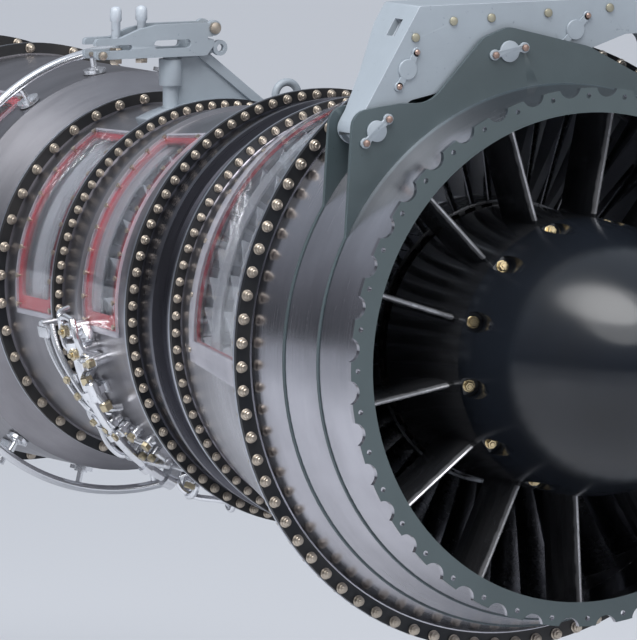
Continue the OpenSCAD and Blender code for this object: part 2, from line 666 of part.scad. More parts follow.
module exhaust_frame() color(dark_metal) difference() {
    union() {
        turned([
            [turbine_r - 8, f7_y], [bolt7_r + rim_w, f7_y], [bolt7_r + rim_w, f7_y + flange_t],
            [turbine_r, f7_y + flange_t], [turbine_r, f8_y - flange_t], [bolt8_r + rim_w, f8_y - flange_t],
            [bolt8_r + rim_w, f8_y], [turbine_r - 8, f8_y]
        ]);
        intersection() {
            around(8, 22.5) translate([0, f7_y + 26, turb_hub - 20])
                linear_extrude(100) polygon(strut_section(100, 16));
            ring(turb_hub - 14, turbine_r - 4, f7_y + 8, f8_y - 8);
        }
        ring(turb_hub - 18, turb_hub - 10, f7_y + 8, f8_y);
        turned([
            [bearing_r(2), f7_y + 16], [bearing_r(2) + 10, f7_y + 16], [bearing_r(2) + 10, f7_y + 34],
            [turb_hub - 16, f7_y + 70], [turb_hub - 16, f7_y + 78], [bearing_r(2) + 10, f7_y + 42],
            [bearing_r(2) + 10, f7_y + 48], [bearing_r(2), f7_y + 48]
        ]);
    }
    bolt_holes(hot_bolts, 0, bolt7_r, clear_r(12), f7_y - 1, f7_y + flange_t + 1);
    bolt_holes(hot_bolts, 0, bolt8_r, clear_r(12), f8_y - flange_t - 1, f8_y + 1);
}

module tail_cone() color(dark_metal) difference() {
    turned([
        [0, f8_y + 190], [8, f8_y + 188], [60, f8_y + 150], [120, f8_y + 80], [turb_hub - 12, f8_y + 20],
        [turb_hub - 10, f8_y + 0.1], [turb_hub - 18.2, f8_y + 0.1], [turb_hub - 18.2, f8_y - 16],
        [turb_hub - 22, f8_y - 16], [turb_hub - 22, f8_y + 2],
        [116, f8_y + 76], [58, f8_y + 145], [0, f8_y + 184]
    ]);
}

module jet_pipe() color(dark_metal) difference() {
    w = 4;
    turned([
        [turbine_r - 8, f8_y], [bolt8_r + rim_w, f8_y], [bolt8_r + rim_w, f8_y + flange_t],
        [turbine_r - 4, f8_y + flange_t], [turbine_r - 6, f8_y + 240], [nozzle_r, nozzle_y],
        [nozzle_r - w, nozzle_y], [turbine_r - 6 - w, f8_y + 238], [turbine_r - 8, f8_y + 8]
    ]);
    bolt_holes(hot_bolts, 0, bolt8_r, clear_r(12), f8_y - 1, f8_y + flange_t + 1);
}

module flange_1_bolts() flange_bolts(flange_bolts, 1.72, 13, f1_y, bolt1_r);
module flange_2_bolts() flange_bolts(flange_bolts, 1.72, 10, f2_y, bolt2_r);
module flange_3_bolts() flange_bolts(flange_bolts, 1.4, 11, f3_y, bolt3_r);
module flange_4_bolts() flange_bolts(flange_bolts, 3.57, 10, f4_y, bolt4_r);
module flange_5_bolts() flange_bolts(rear_bolts, 5.8, 12, f5_y, bolt5_r);
module hot_flange_bolts() for (f = [[f6_y, bolt6_r], [f7_y, bolt7_r], [f8_y, bolt8_r]])
    flange_bolts(hot_bolts, 0, 12, f[0], f[1]);

// Blades
// Curved blade section: tangential x, axial y, chord c along the axis, centred
function blade_section(c, t, m, stagger) = let(
    s = [0, 0.4, 1], w = [0.16, 1, 0.1],
    chord = c / cos(stagger),
    up = [for (i = [0 : 2]) [m * 4 * s[i] * (1 - s[i]) + t / 2 * w[i], (s[i] - 0.5) * chord]],
    low = [for (i = [2 : -1 : 0]) [m * 4 * s[i] * (1 - s[i]) - t / 2 * w[i], (s[i] - 0.5) * chord]]
) [
    for (p = concat(up, low))
        [p.x * cos(stagger) + p.y * sin(stagger), p.y * cos(stagger) - p.x * sin(stagger)]
];

// Row of straight blades between two lines of radius
module blade_row(n, y0, y1, in0, in1, out0, out1, t, m, stagger) intersection() {
    around(n) translate([0, (y0 + y1) / 2, min(in0, in1) - 6])
        linear_extrude(max(out0, out1) - min(in0, in1) + 16)
            polygon(blade_section(y1 - y0 - t / 4, t, m, stagger));
    turned([[in0, y0 - 6], [out0, y0 - 6], [out0, y0], [out1, y1], [out1, y1 + 6], [in1, y1 + 6]]);
}

// Blades that are slid into a ring one by one, with flat ends
module loose_blades(n, y0, y1, r_in, r_out, t, m, stagger) around(n) translate([0, (y0 + y1) / 2, r_in])
    linear_extrude(r_out - r_in) polygon(blade_section(y1 - y0 - 1, t, m, stagger));

module vane_ring(n, y0, y1, out0, out1, in0, in1, t, stagger) {
    turned([[out0 - 3, y0 - 2], [out0, y0 - 2], [out1, y1 + 2], [out1 - 3, y1 + 2]]);
    turned([[in0 - 4, y0 - 1], [in0, y0 - 1], [in1, y1 + 1], [in1 - 4, y1 + 1]]);
    blade_row(n, y0, y1, in0 - 2, in1 - 2, out0 - 1.5, out1 - 1.5, t, -(y1 - y0) / 9, -stagger);
}

module front_vane_ring(k) color(dark_metal) {
    y = front_vanes[k];
    vane_ring(
        40 + 4 * k, y[0], y[1], air_at(y[0] - 2) - 0.15, air_at(y[1] + 2) - 0.15,
        hub_at(y[0]), hub_at(y[1]), 3.4, 24
    );
}

function rear_row_y(i) = rear_y0 + i * rear_pitch;
module rear_vane_rings() color(dark_metal) {
    for (i = [0 : rear_count - 1]) {
        y0 = rear_row_y(i) + rear_pitch / 2;
        y1 = y0 + rear_chord;
        bends = [for (y = [y0 - 2, f4_y, y1 + 2]) if (y >= y0 - 2 && y <= y1 + 2) y];
        turned(concat(
            [for (y = bends) [air_at(y) - 0.2, y]],
            [for (k = [len(bends) - 1 : -1 : 0]) [air_at(bends[k]) - 3.2, bends[k]]]
        ));
        turned([
            [hub_at(y0) - 4, y0 - 1], [hub_at(y0), y0 - 1],
            [hub_at(y1), y1 + 1], [hub_at(y1) - 4, y1 + 1]
        ]);
        loose_blades(28 + 2 * i, y0, y1, hub_at(y1) + 0.1, air_at(y1 + 2) - 3.4, 2.6, -2, -24);
    }
    // inner wall behind the last ring, round the combustor's inside
    y2 = rear_row_y(rear_count) - row_gap + 0.5;
    turned([
        [hub_at(y2) - 4, y2], [hub_at(y2), y2], [hub_at(y2), f5_y], [liner_in - 4, f5_y + 110],
        [liner_in - 4, f6_y - 49], [liner_in - 9, f6_y - 49],
        [liner_in - 9, f5_y + 108], [hub_at(y2) - 4, f5_y - 2]
    ]);
}

// Disc with a rim under the blades, a web and a bored hub
module disc(y0, y1, rim0, rim1, bore, web, hub_w, hub_r, rim_d = 9) {
    m = (y0 + y1) / 2;
    inner = min(rim0, rim1) - rim_d;
    turned([
        [bore, m - hub_w / 2], [hub_r, m - hub_w / 2], [hub_r + 10, m - web / 2], [inner - 5, m - web / 2],
        [inner, y0], [rim0, y0], [rim1, y1], [inner, y1],
        [inner - 5, m + web / 2], [hub_r + 10, m + web / 2], [hub_r, m + hub_w / 2], [bore, m + hub_w / 2]
    ]);
}

// Thin drum between two discs, under the fixed vanes
module spacer(y0, y1, r0, r1) turned([[r0 - 3.5, y0], [r0, y0], [r1, y1], [r1 - 3.5, y1]]);
spacer_in = 5;

// Dovetail root of a fan blade, in a slot that is wider by a small gap
root_w = 5.4;
root_h = 13;
module root_shape(g) polygon([
    [-3.4 - g, 6], [-3.4 - g, -5], [-root_w - g, -root_h + 1.4 - g], [root_w + g, -root_h + 1.4 - g],
    [3.4 + g, -5], [3.4 + g, 6]
]);
fan_rim = 5;

module fan_disc() color(dark_metal) {
    y = front_rows[0];
    h = hub_at(y[0]);
    difference() {
        disc(y[0], y[1], h - fan_rim, h - fan_rim, shaft_r + 0.1, 12, 40, shaft_r + 24, 24);
        around(fan_blades, 3) translate([0, y[0] - 1, h - 6]) plate_y(0, y[1] - y[0] + 2) root_shape(0.2);
    }
    spacer(y[1] - 1, front_rows[1][0] - 0.1, h - 24, hub_at(front_rows[1][0]) - spacer_in);
}

module fan_blades_ring() color(dark_metal) {
    y = front_rows[0];
    m = (y[0] + y[1]) / 2;
    h = hub_at(y[0]);
    half = h * tan(180 / fan_blades) - 0.6;
    tip = duct_r - tip_gap;
    around(fan_blades, 3) {
        // platform and root
        translate([0, y[0], h - 6]) plate_y(0, y[1] - y[0]) root_shape(0);
        translate([-half, y[0], h - 3.4]) cube([2 * half, y[1] - y[0], 3.4]);
        // twisted blade
        translate([0, m, h - 1]) linear_extrude(height = tip - h + 1, twist = 26, slices = 2, segments = 6)
            polygon(blade_section(y[1] - y[0] - 10, 5, 3.2, 22));
    }
}

module front_disc(k, n) color(dark_metal) {
    y = front_rows[k];
    disc(y[0], y[1], hub_at(y[0]), hub_at(y[1]), shaft_r + 0.1, 11, 38, shaft_r + 22);
    blade_row(
        n, y[0], y[1], hub_at(y[0]) - 2, hub_at(y[1]) - 2,
        air_at(y[0]) - tip_gap, air_at(y[1]) - tip_gap, 4, 4, 34
    );
    if (k < 2) spacer(
        y[1] - 1, front_rows[k + 1][0] - 0.1,
        hub_at(y[1]) - spacer_in, hub_at(front_rows[k + 1][0]) - spacer_in
    );
}
module front_disc_2() front_disc(1, 42);
module front_disc_3() front_disc(2, 46);

// Shafts
module inner_shaft() color(dark_metal) difference() {
    union() {
        bar_y(shaft_r, f1_y - 64, f7_y + 56);
        for (k = [0 : 2]) ring(shaft_r - 1, shaft_r + 6, shoulder_y(k), shoulder_y(k) + 4);
        ring(shaft_r - 1, shaft_r + 6, turb2_y1 + 6, turb2_y1 + 10);
    }
    bar_y(shaft_bore, f1_y - 50, f7_y + 60);
}
function shoulder_y(k) = (front_rows[k][0] + front_rows[k][1]) / 2 + 20.1;

turb1_y0 = f6_y + 6;
turb1_y1 = turb1_y0 + 34;
turb2_y0 = turb1_y1 + 60;
turb2_y1 = turb2_y0 + 38;

outer_in = shaft_r + 6;
outer_ro = shaft_r + 18;
module outer_shaft() color(dark_metal) {
    ring(outer_in, outer_ro, f3_y - 46, turb1_y1 + 4);
    ring(outer_ro - 1, outer_ro + 7, turb1_y0 - 4, turb1_y0 - 0.1);
}

// Drum with a groove round it at each row, which holds the blade feet
drum_groove = 6;
module rear_rotor_drum() color(dark_metal) {
    y1 = rear_row_y(rear_count - 1) + rear_chord;
    outside = [for (i = [0 : rear_count - 1]) let(a = rear_row_y(i), b = a + rear_chord) each [
        [hub_at(a), a], [hub_at(a) - 0.01, a + 2], [hub_at(a) - drum_groove, a + 2],
        [hub_at(a) - drum_groove, b - 2], [hub_at(b) - 0.01, b - 2], [hub_at(b), b],
        [hub_at(b) - 8, b + 0.5], [hub_at(b + rear_pitch) - 8, a + rear_pitch - 0.5]
    ]];
    inside = [[hub_at(rear_y0) - 14, rear_y0], [hub_at(y1) - 14, y1]];
    turned(concat([for (i = [0 : len(outside) - 3]) outside[i]], [inside[1], inside[0]]));
    for (i = [0 : rear_count - 1]) {
        a = rear_row_y(i);
        b = a + rear_chord;
        n = 26 + 2 * i;
        w = 2 * PI * (hub_at(a) - drum_groove) / n - 0.4;
        around(n) {
            translate([-w / 2, a + 2.1, hub_at(a) - drum_groove + 0.4])
                cube([w, rear_chord - 4.2, drum_groove - 0.6]);
            translate([0, (a + b) / 2, hub_at(a) - 1]) linear_extrude(air_at(b) - tip_gap - hub_at(a) + 0.5)
                polygon(blade_section(rear_chord - 4.4, 3, 2, 30));
        }
    }
    // end webs
    for (y = [rear_y0 + 8, y1 - 18]) turned([
        [outer_ro + 0.1, y - 8], [outer_ro + 16, y - 8], [outer_ro + 22, y], [hub_at(y) - 14.1, y],
        [hub_at(y) - 14.1, y + 9], [outer_ro + 22, y + 9], [outer_ro + 16, y + 17], [outer_ro + 0.1, y + 17]
    ]);
}

module front_turbine() color(dark_metal) {
    disc(turb1_y0, turb1_y1, turb_hub, turb_hub, outer_ro + 0.1, 16, turb1_y1 - turb1_y0, outer_ro + 26);
    blade_row(
        36, turb1_y0, turb1_y1, turb_hub - 2, turb_hub - 2,
        turb_tip(turb1_y0) - 1.4, turb_tip(turb1_y1) - 1.4, 6, 6, -14
    );
}
module rear_turbine() color(dark_metal) {
    disc(turb2_y0, turb2_y1, turb_hub, turb_hub, shaft_r + 0.1, 14, turb2_y1 - turb2_y0, shaft_r + 26);
    blade_row(
        38, turb2_y0, turb2_y1, turb_hub - 2, turb_hub - 2,
        turb_tip(turb2_y0) - 1.4, turb_tip(turb2_y1) - 1.4, 5, 5, 14
    );
}

module turbine_vanes_1() color(dark_metal) {
    y0 = f6_y - 42;
    y1 = f6_y - 6;
    o = combustor_r - casing_wall + 1.8;
    turned([
        [liner_out - 4, y0 - 2], [liner_out, y0 - 2],
        [turb_tip(f6_y) + 2, y1 - 8], [o, y1 - 4], [o, f6_y - 0.1],
        [turb_tip(f6_y), f6_y - 0.1], [turb_tip(f6_y) - 3, y1 - 6], [liner_out - 7, y0 + 4]
    ]);
    turned([
        [liner_in + 3, y0], [turb_hub, y1 - 2],
        [turb_hub, y1 + 4], [turb_hub - 6, y1 + 4], [turb_hub - 6, y1],
        [bearing_r(4) + 12, y0 - 4], [bearing_r(4) + 9, y0 + 8],
        [bearing_r(4), y0 + 8], [bearing_r(4), y0 - 20],
        [bearing_r(4) + 9, y0 - 20], [bearing_r(4) + 14, y0 - 14], [liner_in - 5, y0 - 6], [liner_in - 5, y0]
    ]);
    blade_row(26, y0 + 4, y1, liner_in + 4, turb_hub - 2, liner_out - 5, turb_tip(f6_y) - 1, 8, -6, -20);
}
module turbine_vanes_2() color(dark_metal) {
    y0 = turb1_y1 + 12;
    y1 = turb2_y0 - 12;
    vane_ring(28, y0, y1, turb_tip(y0) - 0.15, turb_tip(y1) - 0.15, turb_hub, turb_hub, 6, -18);
    turned([
        [turb_hub - 3, y0 + 10], [turb_hub - 3, y0 + 14],
        [outer_ro + 34, y0 + 14], [outer_ro + 34, y0 + 10]
    ]);
}

// Bearings
function bearing_y(k) = [0, f1_y - 54, f7_y + 20, f3_y - 38, f6_y - 60][k];
function bearing_w(k) = [0, 24, 24, 20, 22][k];
function race_in(k) = k < 3 ? shaft_r : outer_ro;
function race_out(k) = bearing_r(k);
function race_t(k) = 7;
module bearing_outer_races() color(bright) for (k = [1 : 4])
    ring(race_out(k) - race_t(k), race_out(k) - 0.05, bearing_y(k), bearing_y(k) + bearing_w(k));
module bearing_rollers() color(bright) for (k = [1 : 4]) {
    lo = race_in(k) + race_t(k) + 1;
    hi = race_out(k) - race_t(k);
    d = hi - lo + 1 - 2 * bearing_gap;
    around(floor(PI * (hi + lo) / (d * 1.25))) translate([0, 0, lo - 1 + bearing_gap + d / 2])
        bar_y(d / 2, bearing_y(k) + 3, bearing_y(k) + bearing_w(k) - 3);
}
module inner_races(ks) color(bright) for (k = ks)
    ring(race_in(k) + 0.05, race_in(k) + race_t(k), bearing_y(k), bearing_y(k) + bearing_w(k));
module inner_shaft_races() inner_races([1, 2]);
module outer_shaft_races() inner_races([3, 4]);

// Combustor
liner_in = 150;
liner_out = 238;
module combustor_liner() color(dark_metal) difference() {
    y0 = injector_y + 20;
    y1 = f6_y - 46;
    turned([
        [liner_in, y1], [liner_in, y0 + 30], [liner_in + 16, y0 + 4], [liner_in + 30, y0],
        [liner_out - 30, y0], [liner_out - 14, y0 + 4], [liner_out, y0 + 30], [liner_out, y1],
        [liner_out - 3, y1], [liner_out - 3, y0 + 31], [liner_out - 16, y0 + 7], [liner_out - 30, y0 + 3],
        [liner_in + 30, y0 + 3], [liner_in + 18, y0 + 7], [liner_in + 3, y0 + 31], [liner_in + 3, y1]
    ]);
    around(injectors, 9) translate([0, 0, (liner_in + liner_out) / 2]) bar_y(13, y0 - 2, y0 + 6);
    for (y = [y0 + 60, y0 + 110]) around(14, 4)
        translate([0, y, liner_out - 12]) cylinder(r = 7, h = 24, $fn = 24);
    for (a = igniter_angles)
        at(a) translate([0, injector_y + 70, liner_out - 12]) cylinder(r = 7.4, h = 24, $fn = 24);
}

module fuel_injectors() color(bright) around(injectors, 9) {
    mid = (liner_in + liner_out) / 2;
    translate([0, injector_y, 0]) {
        translate([0, 0, combustor_r + 0.8]) cylinder(r = 15, h = 5, $fn = 32);
        translate([0, 0, mid]) cylinder(r = 8.6, h = combustor_r + 8 - mid, $fn = 32);
        translate([0, 0, combustor_r])
            cylinder(r = 4, h = fuel_ring_r - fuel_tube - 0.1 - combustor_r, $fn = 24);
    }
    translate([0, 0, mid]) {
        bar_y(8.6, injector_y, injector_y + 6);
        bar_y(12.6, injector_y + 5, injector_y + 26);
    }
}
fuel_tube = 6;
fuel_ring_r = combustor_r + 28;
module fuel_ring() color(bright) {
    rotate([-90, 0, 0]) translate([0, 0, injector_y]) rotate_extrude($fn = fine)
        translate([fuel_ring_r, 0]) circle(r = fuel_tube, $fn = 32);
}
module igniters() color(bright) for (a = igniter_angles) at(a) translate([0, injector_y + 70, 0]) {
    translate([0, 0, liner_out - 6]) cylinder(r = 7, h = combustor_r + 12 - liner_out + 6, $fn = 32);
    translate([0, 0, combustor_r + 0.6]) cylinder(d = 24, h = 9, $fn = 6);
    translate([0, 0, combustor_r + 9]) cylinder(r = 6, h = 22, $fn = 32);
}

// Rear bracket over flange 4
brk_y0 = f4_y + 10;
brk_depth = 38;
brk_y1 = brk_y0 + brk_depth;
brk_ym = brk_y0 + brk_depth / 2;
brk_z = 300;
brk_x0 = -175;
cheek_t = 7;
clevis_r = 5;
fork_bolt = [-166, 5.5, 3];
knuckle_a = [-3, 35, clevis_r];
knuckle_b = [6, 9, clevis_r];
post_x = -57;
studs_x = [-136, -99];

// Side view of a cheek plate: fork at the left end, two knuckles at the right end
module cheek() difference() {
    union() {
        polygon(rounded([
            [brk_x0, 0, 5], [-14, 0, 4], [-2, 14, 4], [-10, 42, 4], [-85, 42, 12], [-112, 37, 10],
            [-138, 27, 8], [brk_x0, 27, 5]
        ]));
        for (k = [knuckle_a, knuckle_b]) translate([k[0], k[1]]) circle(r = 10, $fn = 48);
    }
    polygon(rounded([[brk_x0 - 20, 11, 0], [-122, 11, 3.2], [-122, 18, 3.2], [brk_x0 - 20, 18, 0]]));
    polygon(rounded([[-90, 11, 5], [-37, 11, 5], [-37, 22, 5], [-90, 22, 5]]));
    polygon([[-12, 20.5], [30, 20.5], [30, 24], [-12, 24]]);
}

module rear_bracket() color(light_paint) difference() {
    union() {
        for (y = [brk_y0, brk_y1 - cheek_t]) translate([0, 0, brk_z]) plate_y(y, y + cheek_t) cheek();
        // floor and end wall between the cheeks
        translate([-150, brk_y0 + 1, brk_z]) cube([130, brk_depth - 2, 6]);
        translate([-28, brk_y0 + 1, brk_z]) cube([6, brk_depth - 2, 34]);
        // post, gusset and brace down to the saddle
        translate([post_x, brk_ym, 224]) cylinder(r = 10, h = brk_z - 220, $fn = 48);
        translate([post_x, brk_ym, brk_z - 38]) cylinder(r = 15, h = 34, $fn = 48);
        plate_y(brk_ym - 3, brk_ym + 3) polygon([
            [post_x, 232], [60, 222], [96, 226], [-14, brk_z + 1], [post_x, brk_z + 1]
        ]);
        plate_y(brk_ym - 8, brk_ym + 8) polygon([[88, 214], [106, 214], [-6, brk_z + 3], [-26, brk_z + 3]]);
        turned_part([[r4 - 4, brk_y0], [r4 + 12, brk_y0], [r4 + 12, brk_y1], [r4 - 4, brk_y1]], -30, 24);
    }
    turned([
        [180, brk_y0 - 1], [outer_at(brk_y0 - 1) + 0.1, brk_y0 - 1],
        [outer_at(brk_y1 + 1) + 0.1, brk_y1 + 1], [180, brk_y1 + 1]
    ]);
    for (k = [fork_bolt, knuckle_a, knuckle_b])
        translate([k[0], 0, brk_z + k[1]]) bar_y(k[2], brk_y0 - 1, brk_y1 + 1);
    for (x = studs_x) translate([x, brk_ym, brk_z - 1]) cylinder(r = 5.2, h = 8, $fn = 24);
}

module bracket_bolts() color(bright) {
    for (x = studs_x) translate([x, brk_ym, brk_z]) {
        translate([0, 0, -7.1]) cylinder(d = 17, h = 7, $fn = 6);
        translate([0, 0, -6]) cylinder(r = 5, h = 70, $fn = 32);
        translate([0, 0, 6.1]) cylinder(d = 17, h = 7, $fn = 6);
    }
    for (k = [fork_bolt, knuckle_a]) translate([k[0], 0, brk_z + k[1]]) {
        bar_y(k[2] - 0.2, brk_y0 - 4, brk_y1 + 4);
        bar_y(k[2] + 2.5, brk_y0 - 5, brk_y0 - 0.1);
        hex_y(2 * k[2] + 3, brk_y1 + 0.1, brk_y1 + 6);
    }
}

// Pipes
// Pipe that follows a circle round the engine from angle a0 to a1
module hoop(r, y, tube, a0, a1) rotate([0, 270 - a1, 0]) rotate([-90, 0, 0]) translate([0, 0, y])
    rotate_extrude(angle = a1 - a0, $fn = fine) translate([r, 0]) circle(r = tube, $fn = 24);

module hex_out(across, r0, r1) translate([0, 0, r0]) cylinder(d = across / cos(30), h = r1 - r0, $fn = 6);

drain_tube = 6;
drain_a0 = 104;
drain_a1 = 150;
drain_y = f4_y - 90;
drain_r = lookup(f4_y - 90, rear_line) + 26;
foot_l = 28;
union_w = 22;
foot_r = outer_at(drain_y - foot_l / 2) + 0.3;
module drain_pipe() color(bright) hoop(drain_r, drain_y, drain_tube, drain_a0, drain_a1);
// Unions and clamps: a foot on the casing and a round block on the pipe
module pipe_clamps() color(bright) {
    for (a = [drain_a0 + 12, drain_a0 + 26, drain_a0 + 40]) at(a) translate([0, drain_y, 0]) difference() {
        union() {
            translate([-9, -foot_l / 2, foot_r]) cube([18, foot_l, 4]);
            translate([-5, -10, foot_r + 3]) cube([10, 20, drain_r - foot_r]);
            translate([-5, 0, drain_r]) rotate([0, 90, 0]) cylinder(r = drain_tube + 4, h = 10, $fn = 32);
        }
        translate([-20, 0, drain_r]) rotate([0, 90, 0]) cylinder(r = drain_tube + 0.1, h = 40, $fn = 32);
    }
    for (a = [drain_a0 - 2, drain_a1 + 2]) at(a) translate([0, drain_y, 0]) {
        hex_out(union_w, foot_r, drain_r - 7);
        translate([0, 0, drain_r]) rotate([0, 90, 0]) cylinder(r = 11, h = 14, center = true, $fn = 32);
        translate([0, 0, foot_r]) cylinder(r = 7, h = drain_r - foot_r, $fn = 32);
    }
}
loop_y = f3_y + 30;
loop_tube = 5;
loop_r = 16;
loop_h = 17;
module top_pipe_loop() color(bright) at(6.5) translate([0, loop_y, 0]) {
    base = outer_at(loop_y);
    for (s = [-1, 1]) translate([s * loop_r, 0, base + 1]) {
        cylinder(r = loop_tube, h = loop_h, $fn = 24);
        cylinder(r = loop_tube + 3, h = 5, $fn = 6);
    }
    translate([0, 0, base + loop_h + 1]) rotate([90, 0, 0]) rotate_extrude(angle = 180, $fn = 48)
        translate([loop_r, 0]) circle(r = loop_tube, $fn = 24);
}

intake_casing();
inlet_frame();
inlet_struts();
nose_cone();
nose_bolts();
front_mount_rib();
rear_mount_rib();
mount_yoke();
lug_pins();
lock_plates();
lock_bolts();
yoke_bolts();
front_compressor_casing();
middle_casing();
rear_compressor_casing();
delivery_casing();
combustor_casing();
turbine_casing();
exhaust_frame();
tail_cone();
jet_pipe();
flange_1_bolts();
flange_2_bolts();
flange_3_bolts();
flange_4_bolts();
flange_5_bolts();
hot_flange_bolts();
window_cover(0);  // window_cover_1
window_cover(1);  // window_cover_2
window_cover(2);  // window_cover_3
window_cover(3);  // window_cover_4
cover_screws();
front_vane_ring(0);  // front_vane_ring_1
front_vane_ring(1);  // front_vane_ring_2
front_vane_ring(2);  // front_vane_ring_3
rear_vane_rings();
combustor_liner();
fuel_injectors();
fuel_ring();
igniters();
turbine_vanes_1();
turbine_vanes_2();
rear_bracket();
bracket_bolts();
drain_pipe();
pipe_clamps();
top_pipe_loop();
bearing_outer_races();
bearing_rollers();
inner_shaft();
fan_disc();
fan_blades_ring();
front_disc_2();
front_disc_3();
rear_turbine();
inner_shaft_races();
outer_shaft();
rear_rotor_drum();
front_turbine();
outer_shaft_races();
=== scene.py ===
import json
import math

import bmesh
import bpy
from mathutils import Matrix, Vector


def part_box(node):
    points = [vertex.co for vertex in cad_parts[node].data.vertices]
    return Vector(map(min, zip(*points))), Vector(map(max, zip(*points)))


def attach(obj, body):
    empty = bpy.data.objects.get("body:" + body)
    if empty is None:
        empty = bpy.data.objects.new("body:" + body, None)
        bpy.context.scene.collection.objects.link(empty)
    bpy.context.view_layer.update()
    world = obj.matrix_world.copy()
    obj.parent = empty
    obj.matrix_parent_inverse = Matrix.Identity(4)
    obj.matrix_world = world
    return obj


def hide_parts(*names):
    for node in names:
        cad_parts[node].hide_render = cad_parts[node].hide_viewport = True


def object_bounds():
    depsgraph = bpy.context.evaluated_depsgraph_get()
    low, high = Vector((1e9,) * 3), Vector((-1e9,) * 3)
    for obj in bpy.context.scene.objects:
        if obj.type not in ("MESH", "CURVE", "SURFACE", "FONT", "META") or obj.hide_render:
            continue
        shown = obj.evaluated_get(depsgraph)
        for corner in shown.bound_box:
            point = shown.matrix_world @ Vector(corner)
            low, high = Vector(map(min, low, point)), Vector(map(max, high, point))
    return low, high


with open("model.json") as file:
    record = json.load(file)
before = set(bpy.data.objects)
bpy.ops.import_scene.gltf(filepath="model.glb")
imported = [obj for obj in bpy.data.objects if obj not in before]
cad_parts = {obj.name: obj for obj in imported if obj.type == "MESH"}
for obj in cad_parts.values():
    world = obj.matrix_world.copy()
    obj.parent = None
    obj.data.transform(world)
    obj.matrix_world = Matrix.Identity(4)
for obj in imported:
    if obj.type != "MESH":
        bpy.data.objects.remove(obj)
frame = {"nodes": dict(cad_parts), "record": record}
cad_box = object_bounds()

scene = bpy.context.scene
MM = 0.001


# Casings. Forged steel shells, turned and polished on a lathe, and bolted to each other at their
# flanges. The flange faces are near black, their rims are bare, and the cut edges of the display
# windows are painted red. The front lip is painted grey-green, and its scalloped edge is bare.
class Finish:
    """A procedural material whose nodes are made by short calls."""

    def __init__(self, name):
        self.mat = bpy.data.materials.new(name)
        self.mat.use_nodes = True
        self.tree = self.mat.node_tree
        self.shader = self.tree.nodes["Principled BSDF"]
        self.coord = self.new("ShaderNodeTexCoord").outputs["Object"]

    def new(self, kind, **values):
        n = self.tree.nodes.new(kind)
        for key, value in values.items():
            if hasattr(n, key):
                setattr(n, key, value)
            else:
                self.feed(n.inputs[key.replace("_", " ")], value)
        return n

    def feed(self, socket, value):
        if isinstance(value, bpy.types.NodeSocket):
            self.tree.links.new(value, socket)
        else:
            socket.default_value = value

    def math(self, op, a, b=0.0):
        n = self.new("ShaderNodeMath", operation=op)
        self.feed(n.inputs[0], a)
        self.feed(n.inputs[1], b)
        return n.outputs[0]

    def above(self, value, limit):
        return self.math("GREATER_THAN", value, limit)

    def both(self, *masks):
        out = masks[0]
        for m in masks[1:]:
            out = self.math("MULTIPLY", out, m)
        return out

    def either(self, *masks):
        out = masks[0]
        for m in masks[1:]:
            out = self.math("MAXIMUM", out, m)
        return out

    def between(self, value, low, high):
        return self.both(self.above(value, low), self.above(self.math("MULTIPLY", value, -1.0), -high))

    def polar(self):
        """Place along the axis, radius, and angle in degrees from the top towards the left."""
        s = self.new("ShaderNodeSeparateXYZ")
        self.feed(s.inputs[0], self.coord)
        x, y, z = s.outputs
        r = self.math("SQRT", self.math("ADD", self.math("MULTIPLY", x, x), self.math("MULTIPLY", z, z)))
        turn = self.math("ARCTAN2", self.math("MULTIPLY", x, -1.0), z)
        return y, r, self.math("MULTIPLY", turn, 180 / math.pi)

    def lathe_vector(self, fine, round_scale):
        y, r, a = self.polar()
        v = self.new("ShaderNodeCombineXYZ")
        for socket, value, scale in zip(v.inputs, (y, r, a), (fine, fine, round_scale / 57)):
            self.feed(socket, self.math("MULTIPLY", value, scale))
        return v.outputs[0]

    def noise(self, scale, detail=4.0, vector=None, rough=0.55):
        n = self.new("ShaderNodeTexNoise", Scale=scale, Detail=detail, Roughness=rough)
        self.feed(n.inputs["Vector"], vector if vector is not None else self.coord)
        return n.outputs["Fac"]

    def span(self, value, low, high, to_low=0.0, to_high=1.0):
        n = self.new("ShaderNodeMapRange")
        ends = {"Value": value, "From Min": low, "From Max": high, "To Min": to_low, "To Max": to_high}
        for key, v in ends.items():
            self.feed(n.inputs[key], v)
        return n.outputs[0]

    def mix(self, fac, a, b):
        n = self.new("ShaderNodeMix", data_type="RGBA")
        self.feed(n.inputs["Factor"], fac)
        for key, v in (("A", a), ("B", b)):
            socket = [s for s in n.inputs if s.name == key and s.type == "RGBA"][0]
            self.feed(socket, (*v, 1) if isinstance(v, tuple) else v)
        return [s for s in n.outputs if s.type == "RGBA"][0]

    def blend(self, fac, a, b):
        """Number a where fac is 0 and b where it is 1."""
        return self.math("ADD", a, self.math("MULTIPLY", fac, self.math("SUBTRACT", b, a)))

    def bump(self, height, strength, distance=0.0002):
        n = self.new("ShaderNodeBump", Strength=strength, Distance=distance)
        self.feed(n.inputs["Height"], height)
        self.feed(self.shader.inputs["Normal"], n.outputs[0])

    def set(self, **values):
        for key, value in values.items():
            value = (*value, 1) if isinstance(value, tuple) else value
            self.feed(self.shader.inputs[key.replace("_", " ")], value)


def shade(colour, k):
    return tuple(min(1.0, c * k) for c in colour)


